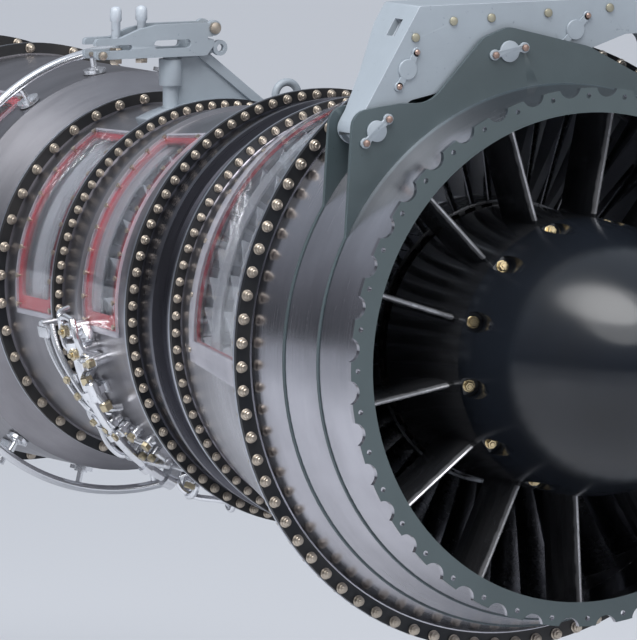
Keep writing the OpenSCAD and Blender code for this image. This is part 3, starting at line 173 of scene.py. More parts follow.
def turned_metal(name, colour, rough=0.3, fine=900, spread=0.08, dirt=0.25, bump=0.12):
    """Metal from a lathe: fine marks round the axis, soft stains and a changing gloss."""
    m = Finish(name)
    marks = m.noise(1.0, 3, m.lathe_vector(fine, 1.5))
    stain = m.noise(7.0, 6)
    base = m.mix(m.span(stain, 0.35, 0.68), shade(colour, 1.12), shade(colour, 1 - dirt))
    gloss = m.span(marks, 0.3, 0.7, rough - spread, rough + spread)
    m.set(Base_Color=base, Metallic=1.0, Roughness=m.math("ADD", gloss, m.span(stain, 0.4, 0.8, 0, 0.08)))
    m.bump(marks, bump)
    return m.mat


def satin(name, colour, rough=0.42, metallic=0.0, grain=1400, bump=0.15, stain=0.15):
    """Paint or blasted metal: fine grain, faint stains and small dark specks."""
    m = Finish(name)
    cloud = m.noise(9.0, 6)
    speck = m.span(m.noise(160.0, 3), 0.68, 0.74)
    base = m.mix(m.span(cloud, 0.3, 0.7), shade(colour, 1.06), shade(colour, 1 - stain))
    m.set(Base_Color=m.mix(m.math("MULTIPLY", speck, 0.5), base, shade(colour, 0.45)), Metallic=metallic)
    m.set(Roughness=m.span(cloud, 0.3, 0.7, rough - 0.05, rough + 0.08))
    m.bump(m.noise(grain, 2), bump)
    return m.mat


# Each joint between two casings: bolts' node, number of bolts, angle of the first, width across a nut
# in mm, and radius in mm where the flange's face begins.
joints = [
    ("flange_1_bolts", 80, 1.72, 13, 361.0), ("flange_2_bolts", 80, 1.72, 10, 265.5),
    ("flange_3_bolts", 80, 1.40, 11, 263.5), ("flange_4_bolts", 80, 3.57, 10, 232.0),
    ("flange_5_bolts", 40, 5.80, 12, 227.5), ("hot_flange_bolts", 26, 0.0, 12, 264.0),
    ("hot_flange_bolts", 26, 0.0, 12, 264.0), ("hot_flange_bolts", 26, 0.0, 12, 264.0)
]
casings = [
    "intake_casing", "front_compressor_casing", "middle_casing", "rear_compressor_casing",
    "delivery_casing", "combustor_casing", "turbine_casing", "exhaust_frame"
]

# Each joint's station and its bolts' circle, which the nuts reach beyond by 0.54 of their width
joint_y = [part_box(name)[1][1] for name in casings]
bolt_r = []
for node, _, _, across, _ in joints:
    x1, y1, z1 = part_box(node)[1]
    bolt_r.append(max(x1, z1) - 0.54 * across * MM)

# Thickness of a flange, radius of the intake duct, and front of the first mount rib
flange_t = 4.5 * MM
air_r = 301.5 * MM
rib_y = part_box("front_mount_rib")[0][1]

# Paints, bare metal and a painted highlight of the casings' faces, and the depth of the paint on a window's
# cut edge
black_face = (0.020, 0.022, 0.026), (0.055, 0.052, 0.05)
lip_green = (0.074, 0.098, 0.104), (0.058, 0.077, 0.082)
window_red = (0.42, 0.035, 0.05), (0.27, 0.022, 0.035)
bare_rim, seat_highlight, duct_black = (0.5, 0.52, 0.57), (0.62, 0.66, 0.71), (0.05, 0.052, 0.057)
red_depth = 4.5 * MM

# Each window: cover node, the cover's margins before and behind the opening in mm, and the angles of
# the opening's ends
windows = [
    ("window_cover_1", (9.5, 27.5), (13.6, 91.9)), ("window_cover_2", (1.5, 1.5), (30.0, 96.5)),
    ("window_cover_3", (1.5, 1.5), (30.0, 96.5)), ("window_cover_4", (1.5, 1.5), (30.0, 95.5))
]
nodes = frame["nodes"]


def inner_radius(node, y):
    """Least radius of a CAD node beside a station along the axis."""
    near = [v.co for v in nodes[node].data.vertices if abs(v.co.y - y) < 1.5 * MM]
    return min(math.hypot(c.x, c.z) for c in near)


def casing_steel(name, colour, rough):
    """Polished steel with near-black flange faces, bare rims and red paint round the windows."""
    m = Finish(name)
    y, r, a = m.polar()
    marks = m.noise(1.0, 3, m.lathe_vector(800, 1.5))
    stain = m.noise(6.0, 6)
    streak = m.noise(1.0, 4, m.lathe_vector(30, 2.0))
    faces, rims, cut_edges = [], [], []
    for at, circle, (*_, face_r) in zip(joint_y, bolt_r, joints):
        near = m.between(y, at - flange_t - 0.4 * MM, at + flange_t + 0.4 * MM)
        faces.append(m.both(near, m.above(r, face_r * MM)))
        rims.append(m.both(near, m.above(y, at + 1.0 * MM), m.above(r, circle + 5.0 * MM)))
    for cover, (front, rear), (a0, a1) in windows:
        (_, y0, _), (_, y1, _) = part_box(cover)
        skin = m.span(y, y0, y1, inner_radius(cover, y0) - red_depth, inner_radius(cover, y1) - red_depth)
        opening = m.both(m.between(y, y0 + front * MM, y1 - rear * MM), m.between(a, a0, a1))
        cut_edges.append(m.both(opening, m.above(r, skin)))
    face, rim, red = m.either(*faces), m.either(*rims), m.either(*cut_edges)
    lip = m.between(y, -1 * MM, 0.3 * MM)
    duct = m.both(m.between(y, 0.3 * MM, joint_y[0]), m.between(r, 0.1, air_r))
    # Painted highlight: a pale band on the casing just in front of the first mount rib, full over the top
    # and fading out between 40 and 66 degrees to either side
    seat = m.both(m.between(y, rib_y - 6 * MM, rib_y + 0.2 * MM), m.span(m.math("ABSOLUTE", a), 66, 40))

    base = m.mix(m.span(stain, 0.35, 0.7), shade(colour, 1.1), shade(colour, 0.8))
    base = m.mix(m.span(streak, 0.4, 0.75, 0, 0.5), base, shade(colour, 0.62))
    base = m.mix(face, base, m.mix(m.span(stain, 0.4, 0.7), *black_face))
    base = m.mix(rim, base, bare_rim)
    # Paints the pale highlight band in front of the rib
    base = m.mix(seat, base, seat_highlight)
    base = m.mix(lip, base, m.mix(m.span(stain, 0.35, 0.7), *lip_green))
    base = m.mix(duct, base, duct_black)
    base = m.mix(red, base, m.mix(m.span(stain, 0.4, 0.65), *window_red))
    painted = m.either(red, lip)
    metal = m.blend(painted, m.blend(face, 1.0, m.blend(rim, 0.55, 1.0)), 0.0)
    gloss = m.span(marks, 0.3, 0.7, rough - 0.05, rough + 0.06)
    gloss = m.math("ADD", gloss, m.span(stain, 0.4, 0.8, 0, 0.07))
    gloss = m.blend(painted, m.blend(face, gloss, m.blend(rim, 0.42, 0.36)), 0.34)
    m.set(Base_Color=base, Metallic=metal, Roughness=gloss)
    m.bump(marks, 0.12)
    return m.mat


def dress(node, paint):
    """Gives a CAD node its finish, in its own material slots."""
    mesh = nodes[node]
    if not mesh.data.materials:
        mesh.data.materials.append(paint)
    for s in mesh.material_slots:
        s.link = "OBJECT"
        s.material = paint


polished = casing_steel("polished_casing", (0.47, 0.465, 0.5), 0.19)
silky = casing_steel("silky_casing", (0.45, 0.44, 0.47), 0.28)
dark = casing_steel("dark_casing", (0.19, 0.19, 0.215), 0.28)
dull = casing_steel("dull_casing", (0.33, 0.32, 0.34), 0.34)
hot = casing_steel("hot_casing", (0.3, 0.27, 0.25), 0.3)
for name, paint in zip(casings, (polished, silky, dark, dull, dull, dull, hot, hot)):
    dress(name, paint)
dress("jet_pipe", turned_metal("pipe_metal", (0.27, 0.24, 0.22), rough=0.34, fine=500, dirt=0.45))
dress("tail_cone", turned_metal("cone_metal", (0.24, 0.215, 0.2), rough=0.36, fine=500, dirt=0.45))

# Flange nuts and bolts. Plated nuts with a round collar on plain shank bolts whose heads are behind
# the flange. They clamp the casings' flanges to each other.
flat_area = 8e-4  # square metres above which a face is shaded flat


def piece(name, bm, paint, body="casing", smooth=40, replaces=()):
    """Makes an object of a bmesh, which rides on a body. Edges over smooth degrees stay sharp."""
    bmesh.ops.recalc_face_normals(bm, faces=bm.faces)
    for face in bm.faces:
        face.smooth = face.calc_area() < flat_area
    for edge in bm.edges:
        if len(edge.link_faces) == 2 and edge.calc_face_angle(0) > math.radians(smooth):
            edge.smooth = False
    mesh = bpy.data.meshes.new(name)
    bm.to_mesh(mesh)
    bm.free()
    obj = bpy.data.objects.new(name, mesh)
    scene.collection.objects.link(obj)
    for p in (paint if isinstance(paint, list) else [paint]):
        mesh.materials.append(p)
    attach(obj, body)
    if replaces:
        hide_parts(*replaces)


def spun(bm, profile, steps=32, place=Matrix()):
    """Spins [radius, height] points in mm round Z."""
    old = set(bm.verts)
    verts = [bm.verts.new((r * MM, 0, h * MM)) for r, h in profile]
    edges = [bm.edges.new(pair) for pair in zip(verts, verts[1:])]
    bmesh.ops.spin(bm, geom=verts + edges, axis=(0, 0, 1), cent=(0, 0, 0), angle=2 * math.pi, steps=steps,
                   use_merge=True)
    bmesh.ops.remove_doubles(bm, verts=[v for v in bm.verts if v not in old], dist=1e-7)
    new = [v for v in bm.verts if v not in old]
    bmesh.ops.transform(bm, matrix=place, verts=new)


def repeated(bm, form, places):
    """Adds a copy of a finished form, given as a bmesh, at each place."""
    mesh = bpy.data.meshes.new("form")
    form.to_mesh(mesh)
    form.free()
    for place in places:
        start = len(bm.verts)
        bm.from_mesh(mesh)
        bm.verts.ensure_lookup_table()
        bmesh.ops.transform(bm, matrix=place, verts=bm.verts[start:])
    bpy.data.meshes.remove(mesh)


def outwards(radius, y, degrees):
    """Place with +Z pointing out from the engine's axis. Sizes in mm."""
    return Matrix.Rotation(math.radians(-degrees), 4, "Y") @ Matrix.Translation((0, y * MM, radius * MM))


def forwards(radius, y, degrees):
    """Place with +Z pointing towards the intake and +Y outwards."""
    return outwards(radius, y, degrees) @ Matrix.Rotation(math.radians(90), 4, "X")


def fastener(across, grip):
    """Nut on its collar with the bolt's end in front, and the shank and head behind."""
    form = bmesh.new()
    d = across
    spun(form, [
        (0.50 * d, 0), (0.56 * d, 0.03 * d), (0.56 * d, 0.09 * d), (0.46 * d, 0.15 * d),
        (0.46 * d, 0.42 * d), (0.39 * d, 0.53 * d), (0.27 * d, 0.55 * d), (0.27 * d, 0.64 * d),
        (0.20 * d, 0.70 * d), (0, 0.71 * d)
    ], 14)
    spun(form, [
        (0.3 * d, 0), (0.3 * d, -grip), (0.55 * d, -grip), (0.55 * d, -grip - 0.1 * d),
        (0.42 * d, -grip - 0.16 * d), (0.36 * d, -grip - 0.35 * d), (0, -grip - 0.36 * d)
    ], 12)
    return form


nut_steel = satin("nut_steel", (0.52, 0.455, 0.38), 0.35, metallic=0.9, grain=900, bump=0.1, stain=0.3)
for node in dict.fromkeys(row[0] for row in joints):
    bm = bmesh.new()
    for (name, count, first, across, _), y, r in zip(joints, joint_y, bolt_r):
        if name == node:
            circle = [forwards(r / MM, (y - flange_t) / MM, first + i * 360 / count) for i in range(count)]
            form = fastener(across, 2 * flange_t / MM)
            repeated(bm, form, [m @ Matrix.Rotation(i * 2.4, 4, "Z") for i, m in enumerate(circle)])
    piece(node.replace("bolts", "nuts"), bm, nut_steel, smooth=30, replaces=[node])

# Nose. A spun and polished shell, painted black, with a deep round pocket round each of its screws.
# The screws are gold plated and hold it to the inlet frame's hub.
struts = 13
strut_angles = [16.6 + i * 360 / struts for i in range(struts)]
seam_y, seam_r, nose_len = 22, 170, 256
screw_circle, pocket_r, lean = 162, 13, 18
along_y = Matrix.Rotation(math.radians(-90), 4, "X")


def cut(name, solid, cutter):
    """The solid bmesh less the cutter bmesh, as a new bmesh."""
    objects = []
    for tag, bm in (("solid", solid), ("cutter", cutter)):
        bmesh.ops.recalc_face_normals(bm, faces=bm.faces)
        mesh = bpy.data.meshes.new(f"{name}_{tag}")
        bm.to_mesh(mesh)
        bm.free()
        objects.append(bpy.data.objects.new(f"{name}_{tag}", mesh))
        scene.collection.objects.link(objects[-1])
    knife = objects[0].modifiers.new("cut", "BOOLEAN")
    knife.solver = "EXACT"
    knife.object = objects[1]
    graph = bpy.context.evaluated_depsgraph_get()
    result = bpy.data.meshes.new_from_object(objects[0].evaluated_get(graph))
    out = bmesh.new()
    out.from_mesh(result)
    for mesh in [o.data for o in objects] + [result]:
        bpy.data.meshes.remove(mesh)
    return out


def rod(bm, r, z0, z1, place=Matrix(), steps=32, edge=0.6):
    """Round bar along Z with eased ends. Sizes in mm."""
    side = [(r - edge, z0), (r, z0 + edge), (r, z1 - edge), (r - edge, z1)]
    spun(bm, [(0, z0)] + side + [(0, z1)], steps, place)


def screw_seat(a):
    """Place of a screw's seat, which leans outwards from the engine's axis."""
    return forwards(screw_circle, seam_y - 9, a) @ Matrix.Rotation(math.radians(-lean), 4, "X")


bm = bmesh.new()
turns = [math.radians(k * 1.5) for k in range(1, 60)]
bullet = [(seam_r * math.cos(t), seam_y - nose_len * math.sin(t)) for t in turns] + [(0, seam_y - nose_len)]
spun(bm, [(0, seam_y), (seam_r - 0.5, seam_y), (seam_r, seam_y - 0.5)] + bullet, 16 * struts, along_y)
pockets = bmesh.new()
for a in strut_angles:
    rod(pockets, pocket_r, 0, 120, screw_seat(a), steps=40, edge=1.0)
black_gloss = satin("black_gloss", (0.008, 0.010, 0.014), rough=0.2, grain=500, bump=0.015, stain=0.4)
nose = cut("nose", bm, pockets)
piece("nose_shell", nose, black_gloss, smooth=32, replaces=["nose_cone"])

gold = satin("gold_screws", (0.68, 0.55, 0.33), rough=0.25, metallic=1.0, grain=900, bump=0.1, stain=0.35)
screw = bmesh.new()
spun(screw, [(0, 0), (7.5, 0), (7.9, 0.4), (7.9, 1.4), (7.4, 1.8), (0, 1.8)], 28)
spun(screw, [(6.2, 1.6), (6.2, 6.4), (5.4, 7.4), (3.4, 7.4), (3.4, 8.2), (2.8, 8.8), (0, 8.8)], 6)
rod(screw, 3, -15, 0.5, steps=16, edge=0.3)
bm = bmesh.new()
repeated(bm, screw, [screw_seat(a) @ Matrix.Rotation(a, 4, "Z") for a in strut_angles])
piece("nose_screws", bm, gold, smooth=28, replaces=["nose_bolts"])

# Inlet frame. A hub, and thirteen struts that carry it in the intake casing. All of it is painted
# black, and the struts' front edges carry a painted highlight of bright grey metal.


def strut_black_and_highlight():
    m = Finish("strut_black_and_highlight")
    y, r, a = m.polar()
    ragged_edge = m.noise(60.0, 5)
    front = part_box("inlet_struts")[0][1]
    depth = m.math("ADD", y, m.math("MULTIPLY", ragged_edge, 9 * MM))
    # Painted highlight: the struts' front edges are painted bright grey metal, with a ragged back edge
    edge = m.both(m.above(r, (seam_r + 4) * MM), m.span(depth, front + 12 * MM, front + 3 * MM))
    black = m.mix(m.span(m.noise(8.0, 5), 0.35, 0.7), (0.010, 0.011, 0.013), (0.03, 0.03, 0.032))
    m.set(Base_Color=m.mix(edge, black, (0.5, 0.5, 0.52)), Metallic=m.math("MULTIPLY", edge, 0.85))
    m.set(Roughness=m.blend(edge, 0.13, 0.3))
    m.bump(m.noise(700.0, 2), 0.03)
    return m.mat


black_and_edge_highlight = strut_black_and_highlight()
for node in ("inlet_frame", "inlet_struts"):
    dress(node, black_and_edge_highlight)

# Mount ribs. Two plates let into grooves of the intake casing, cut from sheet steel and painted dark.
# Their edges are eased, and the bevels are painted a lighter blue-grey metal for worn paint and a painted
# highlight.


def eased(node, width, edge_paint=0, angle=35, segments=2):
    """A merged copy of a CAD node whose sharp edges are bevelled. Width in mm."""
    bm = bmesh.new()
    bm.from_mesh(nodes[node].data)
    bmesh.ops.remove_doubles(bm, verts=bm.verts, dist=2e-6)
    bmesh.ops.dissolve_limit(bm, angle_limit=math.radians(1.5), verts=bm.verts, edges=bm.edges)
    sharp = [e for e in bm.edges if len(e.link_faces) == 2 and e.calc_face_angle(0) > math.radians(angle)]
    bevelled = bmesh.ops.bevel(bm, geom=sharp, offset=width * MM, offset_type="OFFSET", segments=segments,
                               profile=0.5, affect="EDGES", clamp_overlap=True, material=-1)
    for face in bevelled["faces"]:
        face.material_index = edge_paint
    return bm


rib_paint = satin("rib_paint", (0.072, 0.096, 0.104), rough=0.38, metallic=0.15, stain=0.2)
# Lighter blue-grey metal on the ribs' bevels: worn paint and a painted highlight along the edges
rib_edge_wear_and_highlight = satin("rib_edge_wear_and_highlight", (0.36, 0.42, 0.49), rough=0.3, metallic=0.6, stain=0.3)
for node in ("front_mount_rib", "rear_mount_rib"):
    piece(node + "_plate", eased(node, 0.8, 1), [rib_paint, rib_edge_wear_and_highlight], replaces=[node])

# Mount yoke. A milled box of two webs, a top and sloping ends, painted light grey, that spans the ribs.
# Key plates with a disc and two small bolts hold its three pins.
grey_paint = satin("grey_paint", (0.30, 0.34, 0.38), rough=0.36, stain=0.12)
# Lighter grey: a painted highlight on the bevelled edges of the yoke, its key plates and the bracket, and
# the stud caps' own colour
pale_grey_and_edge_highlight = satin("pale_grey_and_edge_highlight", (0.44, 0.48, 0.53), rough=0.32, stain=0.12)
greys = [grey_paint, pale_grey_and_edge_highlight]
yoke = eased("mount_yoke", 1.0, 1, segments=3)
piece("yoke_box", yoke, greys, replaces=["mount_yoke"])
red_bolt = satin("red_bolt", (0.36, 0.25, 0.21), rough=0.3, metallic=0.7, stain=0.3)
aged_bolt = satin("aged_bolt", (0.36, 0.34, 0.26), rough=0.36, metallic=0.6, stain=0.35)
piece("key_plates", eased("lock_plates", 0.5, 1), greys, replaces=["lock_plates"])
piece("key_bolts", eased("lock_bolts", 0.4), red_bolt, replaces=["lock_bolts"])
bolt_heads = eased("yoke_bolts", 1.4, segments=3)
piece("yoke_bolt_heads", bolt_heads, aged_bolt, replaces=["yoke_bolts"])

# Two more keys lock the pins of the yoke's own web
web_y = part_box("mount_yoke")[0][1]
key_reach = 24
to_front = Matrix.Rotation(math.radians(90), 4, "X")
web = bmesh.new()
web_bolts = bmesh.new()
for x, z, slope in ((-202.8, 354.0, 59), (31.7, 393.5, 44)):
    m = Matrix.Translation((x * MM, web_y, z * MM)) @ Matrix.Rotation(math.radians(-slope), 4, "Y")
    rod(web, 12.5, -0.5, 3.0, m @ to_front, steps=40, edge=0.7)
    bar = Matrix.Translation((0, -1.2 * MM, 0)) @ Matrix.Diagonal((2 * key_reach * MM, 3 * MM, 8 * MM, 1))
    made = bmesh.ops.create_cube(web, size=1)["verts"]
    bmesh.ops.transform(web, matrix=m @ bar, verts=made)
    for side in (-key_reach, key_reach):
        seat = m @ Matrix.Translation((side * MM, 0, 0)) @ to_front
        rod(web, 6, -0.5, 2.7, seat, steps=28, edge=0.7)
        rod(web_bolts, 3.6, 2, 5.6, seat, steps=18, edge=1.4)
piece("web_keys", web, grey_paint)
piece("web_key_bolts", web_bolts, red_bolt)
piece("pins", eased("lug_pins", 0.6), nut_steel, replaces=["lug_pins"])

# Rear bracket. Two milled cheeks with a fork and two knuckles, on a saddle, post and brace, painted
# light grey. Its studs carry tall round nuts.
piece("bracket_frame", eased("rear_bracket", 0.9, 1), greys, replaces=["rear_bracket"])
piece("bracket_pins", eased("bracket_bolts", 0.4), nut_steel, replaces=["bracket_bolts"])
bracket_y = (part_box("rear_bracket")[0][1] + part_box("rear_bracket")[1][1]) / 2
stud_x, stud_z = (-136, -99), 300
cap = [(0, 13.5), (5.8, 13.5), (5.8, 46), (7.6, 48.5), (7.6, 60), (6.4, 64), (4, 66), (0, 66.8)]
bm = bmesh.new()
for x in stud_x:
    spun(bm, cap, 28, Matrix.Translation((x * MM, bracket_y, stud_z * MM)))
piece("stud_caps", bm, pale_grey_and_edge_highlight)

# Front rotor blades. Forged titanium, twisted from root to tip, with a platform and a dovetail root,
# slid one by one into the disc.


def section(bm, chord, thick, camber, stagger, z):
    """Closed loop of an aerofoil across the blade, chord along Y before it turns. Sizes in mm."""
    half = 7
    rows = []
    for i in range(half + 1):
        t = i / half
        w = thick / 2 * math.sqrt(max(0.0, math.sin(math.pi * (0.02 + 0.96 * t)))) * (1 - 0.35 * t)
        rows.append((camber * 4 * t * (1 - t), (t - 0.5) * chord, w))
    points = [(c + w, y) for c, y, w in rows] + [(c - w, y) for c, y, w in reversed(rows)]
    turn = Matrix.Rotation(math.radians(-stagger), 4, "Z")
    loop = [bm.verts.new(turn @ Vector((x * MM, y * MM, z * MM))) for x, y in points]
    return [bm.edges.new(pair) for pair in zip(loop, loop[1:] + loop[:1])]


def lofted(bm, rows):
    """Skins a blade over (chord, thickness, camber, stagger, height) rows and closes its ends."""
    loops = [section(bm, *row) for row in rows]
    for low, high in zip(loops, loops[1:]):
        bmesh.ops.bridge_loops(bm, edges=low + high)
    bmesh.ops.holes_fill(bm, edges=loops[0] + loops[-1], sides=0)


blade_count, first_blade = 44, 3
(_, fan_y0, _), (tip, fan_y1, _) = [[c / MM for c in corner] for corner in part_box("fan_blades_ring")]
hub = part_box("fan_disc")[1][0] / MM
blade = bmesh.new()
mid = (fan_y0 + fan_y1) / 2
rows = []
for i in range(8):
    t = i / 7
    rows.append((46 - 2 * t, 6.4 - 4.4 * t, 4.2 - 2.2 * t, 22 + 26 * t, hub + (tip - 0.3 - hub) * t))
lofted(blade, rows)
bmesh.ops.translate(blade, verts=blade.verts, vec=(0, mid * MM, 0))
platform = 2 * (math.pi * (hub - 1) / blade_count - 0.6)
for width, z0, z1 in ((platform, hub - 4, hub - 0.4), (9.2, hub - 15, hub - 3.5)):
    made = bmesh.ops.create_cube(blade, size=1)["verts"]
    bmesh.ops.scale(blade, verts=made, vec=(width * MM, (fan_y1 - fan_y0) * MM, (z1 - z0) * MM))
    bmesh.ops.translate(blade, verts=made, vec=(0, mid * MM, (z0 + z1) / 2 * MM))
fan_metal = turned_metal("fan_metal", (0.15, 0.155, 0.17), 0.24, fine=200, spread=0.03, dirt=0.1, bump=0.02)
blade_angles = [first_blade + i * 360 / blade_count for i in range(blade_count)]
bm = bmesh.new()
repeated(bm, blade, [Matrix.Rotation(math.radians(-a), 4, "Y") for a in blade_angles])
piece("front_blades", bm, fan_metal, body="front_rotor", smooth=50,
      replaces=["fan_blades_ring"])

# Pipes and fittings. Bent stainless tube with hexagon unions, clamps, a two-bolt valve body and small
# brackets, screwed to the casings on the lower left and at the top.


def route(*stations):
    """Points in metres, each at a radius from the axis, a station along it and an angle round it."""
    return [outwards(*station).to_translation() for station in stations]


def tube(bm, points, r, steps=8):
    """Round tube through points in metres, smooth in its bends. r in mm."""
    path = bpy.data.curves.new("path", "CURVE")
    path.dimensions = "3D"
    path.bevel_depth = r * MM
    path.bevel_resolution = 3
    path.use_fill_caps = True
    line = path.splines.new("NURBS")
    line.points.add(len(points) - 1)
    for control, p in zip(line.points, points):
        control.co = (*p, 1)
    line.order_u = 3
    line.use_endpoint_u = True
    line.resolution_u = steps
    holder = bpy.data.objects.new("path", path)
    scene.collection.objects.link(holder)
    graph = bpy.context.evaluated_depsgraph_get()
    mesh = bpy.data.meshes.new_from_object(holder.evaluated_get(graph))
    bpy.data.objects.remove(holder)
    bpy.data.curves.remove(path)
    bm.from_mesh(mesh)
    bpy.data.meshes.remove(mesh)


def hexagon(bm, across, z0, z1, place):
    """Hexagon nut or union with chamfered corners. Sizes in mm."""
    r = across / 2 / math.cos(math.pi / 6)
    c = (z1 - z0) * 0.15
    spun(bm, [(0, z0), (r * 0.88, z0), (r, z0 + c), (r, z1 - c), (r * 0.88, z1), (0, z1)], 6, place)


def sideways(radius, y, degrees):
    """Place with +Z along the hoop, towards growing angles."""
    return outwards(radius, y, degrees) @ Matrix.Rotation(math.radians(-90), 4, "Y")


def loop_of_tube(bm, place, r, tube_r, a0=0, a1=360, count=17):
    """Ring or part ring of tube round +Z of its place. Sizes in mm."""
    turns = [math.radians(a0 + (a1 - a0) * i / (count - 1)) for i in range(count)]
    tube(bm, [place @ Vector((r * math.cos(t) * MM, r * math.sin(t) * MM, 0)) for t in turns], tube_r, 4)


def block(bm, place, size, ease=1.0):
    """Block with eased edges, centred on its place. Sizes in mm."""
    made = bmesh.ops.create_cube(bm, size=1)["verts"]
    bmesh.ops.scale(bm, verts=made, vec=[s * MM for s in size])
    edges = list({e for v in made for e in v.link_edges})
    bevelled = bmesh.ops.bevel(bm, geom=edges, offset=ease * MM, offset_type="OFFSET", segments=2,
                               profile=0.5, affect="EDGES", clamp_overlap=True, material=-1)
    verts = list({v for f in bevelled["faces"] for v in f.verts} | {v for v in made if v.is_valid})
    bmesh.ops.transform(bm, matrix=place, verts=verts)


bright_steel = satin("bright_steel", (0.78, 0.79, 0.82), 0.2, metallic=0.9, grain=900, bump=0.06)
brass_nut = satin("brass_nut", (0.62, 0.53, 0.36), 0.28, metallic=1.0, grain=900, bump=0.08, stain=0.3)
bm, small = bmesh.new(), bmesh.new()

# Valve body beside flange 4: a loop of tube on a two-bolt body with a side arm
for a, y in ((97.5, 868), (103.5, 852)):
    rod(bm, 11, -24, 6, outwards(262, y, a), edge=1.5)
    hexagon(small, 14, 6, 13, outwards(262, y, a))
    rod(small, 3.5, 13, 17, outwards(262, y, a), steps=16)
block(bm, outwards(250, 860, 100.5) @ Matrix.Rotation(math.radians(32), 4, "Z"), (22, 46, 12), 2.5)
tube(bm, route((250, 892, 92), (266, 890, 92.5), (270, 878, 94), (266, 884, 99), (268, 876, 103),
               (256, 868, 104)), 4.2)
tube(bm, route((270, 846, 94), (272, 838, 97), (270, 834, 101), (262, 838, 104), (250, 842, 105)), 4.6)
tube(bm, route((268, 878, 94), (274, 862, 92.6), (270, 846, 94)), 4.2)
rod(bm, 9, -16, 12, outwards(256, 838, 106.5), edge=2)
hexagon(bm, 17, 12, 18, outwards(256, 838, 106.5))
hexagon(small, 11, -2, 8, outwards(262, 824, 106))
rod(bm, 6.5, -24, -2, outwards(262, 824, 106), steps=24)

# Twin tubes that cross flange 4 and run down to the ring clamp
for dy, dr in ((0, 0), (-17, -2)):
    tube(bm, route((258 + dr, 948 + dy, 97.5), (262 + dr, 940 + dy, 101), (264 + dr, 926 + dy, 107),
                   (265 + dr, 906 + dy, 113.5), (265 + dr, 892 + dy, 119), (262 + dr, 884 + dy, 123),
                   (252 + dr, 880 + dy, 125)), 4.4)
block(bm, outwards(261, 944, 99.5), (16, 26, 8), 2)
rod(bm, 6, -20, 6, outwards(258, 948, 97.5), steps=24, edge=1.5)
for y, a in ((900, 112.2), (888, 117.0)):
    block(bm, outwards(258, y, a), (12, 34, 9), 1.5)
    hexagon(small, 9, 5, 11, outwards(261, y, a))
    rod(bm, 4, -24, 0, outwards(258, y, a), steps=20)

# Union with a sleeve in front of the twin tubes
tube(bm, route((247, 850, 109), (262, 848, 110), (266, 842, 113), (266, 828, 118), (262, 822, 120.5),
               (248, 820, 121.5)), 4.8)
rod(bm, 8, -14, 14, sideways(266, 838, 114.6), steps=28, edge=2)
for y, a in ((848, 111.2), (824, 118.8)):
    hexagon(small, 15, -5, 6, sideways(265, y, a))

# Ring clamp round a stub, with the tube that leaves it towards the strip bracket
ring_at = outwards(262, 884, 125.5)
loop_of_tube(bm, ring_at, 15, 3.6)
rod(bm, 8.5, -26, 5, ring_at, steps=28, edge=1.5)
hexagon(small, 9, 5, 10, ring_at)
ring_side = [ring_at @ Vector((15 * MM, 0, 0))]
tube(bm, ring_side + route((258, 903, 130), (262, 910, 134), (264, 912, 138.5), (262, 908, 142),
                           (250, 904, 143)), 4.2)
for y, a, turn in ((862, 127.6, 20), (850, 130.0, 14)):
    m = outwards(258, y, a) @ Matrix.Rotation(math.radians(turn), 4, "Z")
    block(bm, m, (12, 30, 10), 2)
    rod(bm, 5.5, -18, 9, m, steps=24, edge=1.2)
    hexagon(small, 10, 8, 13, m)
for y, a in ((828, 131.6), (806, 134.5)):
    rod(bm, 7, -22, 3, outwards(252, y, a), steps=24, edge=1.5)
    hexagon(small, 12, 3, 10, outwards(252, y, a))
tube(bm, route((250, 850, 130), (258, 838, 131.5), (258, 826, 132), (256, 808, 134), (246, 798, 135)), 3.8)

# Strip bracket along the casing, with its bolts and a lug
block(bm, outwards(256, 852, 142.5), (10, 112, 14), 2)
for y in (900, 806):
    block(bm, outwards(246, y, 141.0), (26, 12, 22), 2)
rod(bm, 11, -14, 8, outwards(252, 884, 139.5), steps=32, edge=2)
for y in (872, 846, 822):
    hexagon(small, 10, 0, 8, outwards(256, y, 139.8))
    rod(bm, 4.5, -20, 0, outwards(256, y, 139.8), steps=20)
block(bm, outwards(253, 786, 145), (8, 34, 10), 2)

# Loops below: a bend round a small ring, then a second bend under flange 3
low = outwards(258, 848, 158) @ Matrix.Rotation(math.radians(80), 4, "Y")
loop_of_tube(bm, low, 15, 4.4, 60, 330)
loop_of_tube(bm, low, 6.5, 2.8)
rod(bm, 7, -22, 8, outwards(250, 836, 156), steps=24, edge=1.5)
hexagon(small, 12, 8, 15, outwards(250, 836, 156))
tube(bm, route((250, 860, 153), (266, 858, 155), (272, 850, 160), (268, 834, 164), (266, 812, 166),
               (270, 796, 167), (262, 776, 168), (250, 768, 169)), 4.2)
loop_of_tube(bm, outwards(268, 806, 166.5) @ Matrix.Rotation(math.radians(75), 4, "Y"), 9, 3.4, 0, 300)
block(bm, outwards(258, 770, 168.5), (9, 44, 9), 2)
piece("pipe_fittings", bm, bright_steel, smooth=35)
piece("pipe_nuts", small, brass_nut, smooth=28)
dress("top_pipe_loop", grey_paint)

# Inner pieces that show through the windows, the intake and the jet pipe. Blades and discs are milled
# titanium or nickel alloy, the shafts and races ground steel, the pipes bright stainless steel.
titanium = satin("titanium", (0.46, 0.48, 0.53), rough=0.42, metallic=0.4, grain=900, bump=0.06)
hot_metal = turned_metal("hot_metal", (0.26, 0.235, 0.22), rough=0.34, fine=500, dirt=0.45)
finishes = {
    "dark_paint": rib_paint, "light_paint": grey_paint, "dark_metal": hot_metal, "titanium": titanium,
    "gold_nut": nut_steel, "bright": bright_steel
}
dressed = set(casings + ["jet_pipe", "tail_cone", "inlet_frame", "inlet_struts", "top_pipe_loop"])
for row in frame["record"]["subparts"]:
    if row["node"] not in dressed and row["material_slot"] in finishes:
        dress(row["node"], finishes[row["material_slot"]])

